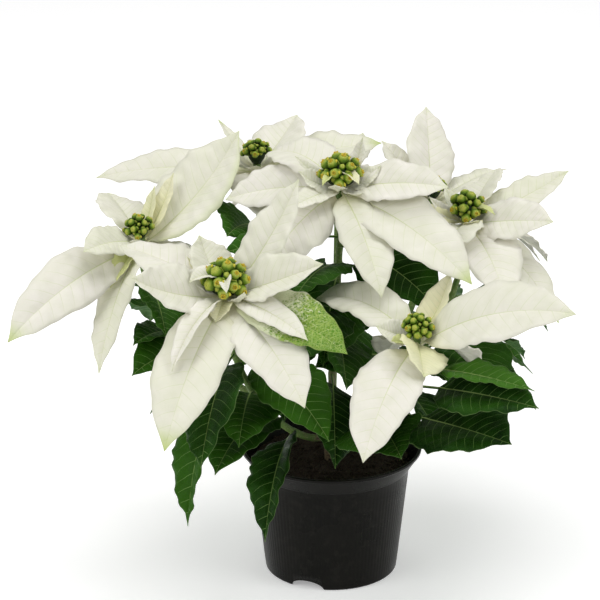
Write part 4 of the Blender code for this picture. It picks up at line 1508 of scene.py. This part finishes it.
def make_floor():
    low, high = -FLOOR_REACH, FLOOR_REACH
    mesh = bpy.data.meshes.new("studio_floor")
    corners = [(low, low, 0), (high, low, 0), (high, high, 0), (low, high, 0)]
    mesh.from_pydata(corners, [], [(0, 1, 2, 3)])
    finish = new_finish(
        "pale_floor",
        Roughness=0.9,
        Base_Color=FLOOR_COLOUR,
        Emission_Color=(1, 1, 1, 1),
        Emission_Strength=FLOOR_GLOW,
    )
    mesh.materials.append(finish)
    show("studio_floor", mesh)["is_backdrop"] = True


def make_light(name, place, size, power):
    lamp = bpy.data.lights.new(name, "AREA")
    lamp.shape = "SQUARE"
    lamp.size = size
    lamp.energy = power
    light = show(name, lamp)
    light.location = place
    toward = Vector(PLANT_MIDDLE) - Vector(place)
    light.rotation_euler = toward.to_track_quat("-Z", "Y").to_euler()


def make_studio():
    make_floor()
    world = bpy.data.worlds.new("soft_sky")
    world.use_nodes = True
    sky = world.node_tree.nodes["Background"]
    sky.inputs["Color"].default_value = (1, 1, 1, 1)
    sky.inputs["Strength"].default_value = SKY_STRENGTH
    bpy.context.scene.world = world
    for name, softbox in SOFTBOXES.items():
        make_light(name, *softbox)
    bpy.context.scene.view_settings.view_transform = "Standard"


def make_camera():
    camera = bpy.data.cameras.new("camera")
    camera.lens = CAMERA_LENS
    obj = show("camera", camera)
    obj.location = CAMERA_PLACE
    obj.rotation_euler = (math.radians(90 - CAMERA_DOWN), 0, 0)
    bpy.context.scene.camera = obj


def main():
    veins = vein_group()
    mottle = mottle_group()
    bract_white = bract_finish(veins, mottle)
    leaf_green = leaf_finish(veins, mottle)
    stem_bark = stem_finish(mottle)
    bud_green = bud_finish(mottle)
    ripe = ripe_bud()
    green = green_bud()
    dome = cluster_tree()
    for key in BLOOMS:
        rosette = make_rosette(key, (bract_white, stem_bark))
        settle(rosette, "bract_white", f"bracts_{key}")
        foliage = make_foliage(key, (leaf_green, stem_bark))
        settle(foliage, "leaf_green", f"leafy_stem_{key}")
        cluster = make_cluster(key, dome, ripe, green, bud_green)
        settle(cluster, "bud_green", f"buds_{key}")
    for bud in (ripe, green):
        bpy.data.objects.remove(bud)
    settle(make_main_stem(stem_bark), "stem_bark", "main_stem")
    settle(make_soil(peat_finish(mottle)), "peat", "soil")
    settle(make_pot(pot_finish(mottle)), "pot_plastic", "pot")
    make_studio()
    make_camera()


main()
boxes = {"cad": cad_box, "visual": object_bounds()}
boxes = {name: [list(map(float, corner)) for corner in box] for name, box in boxes.items()}
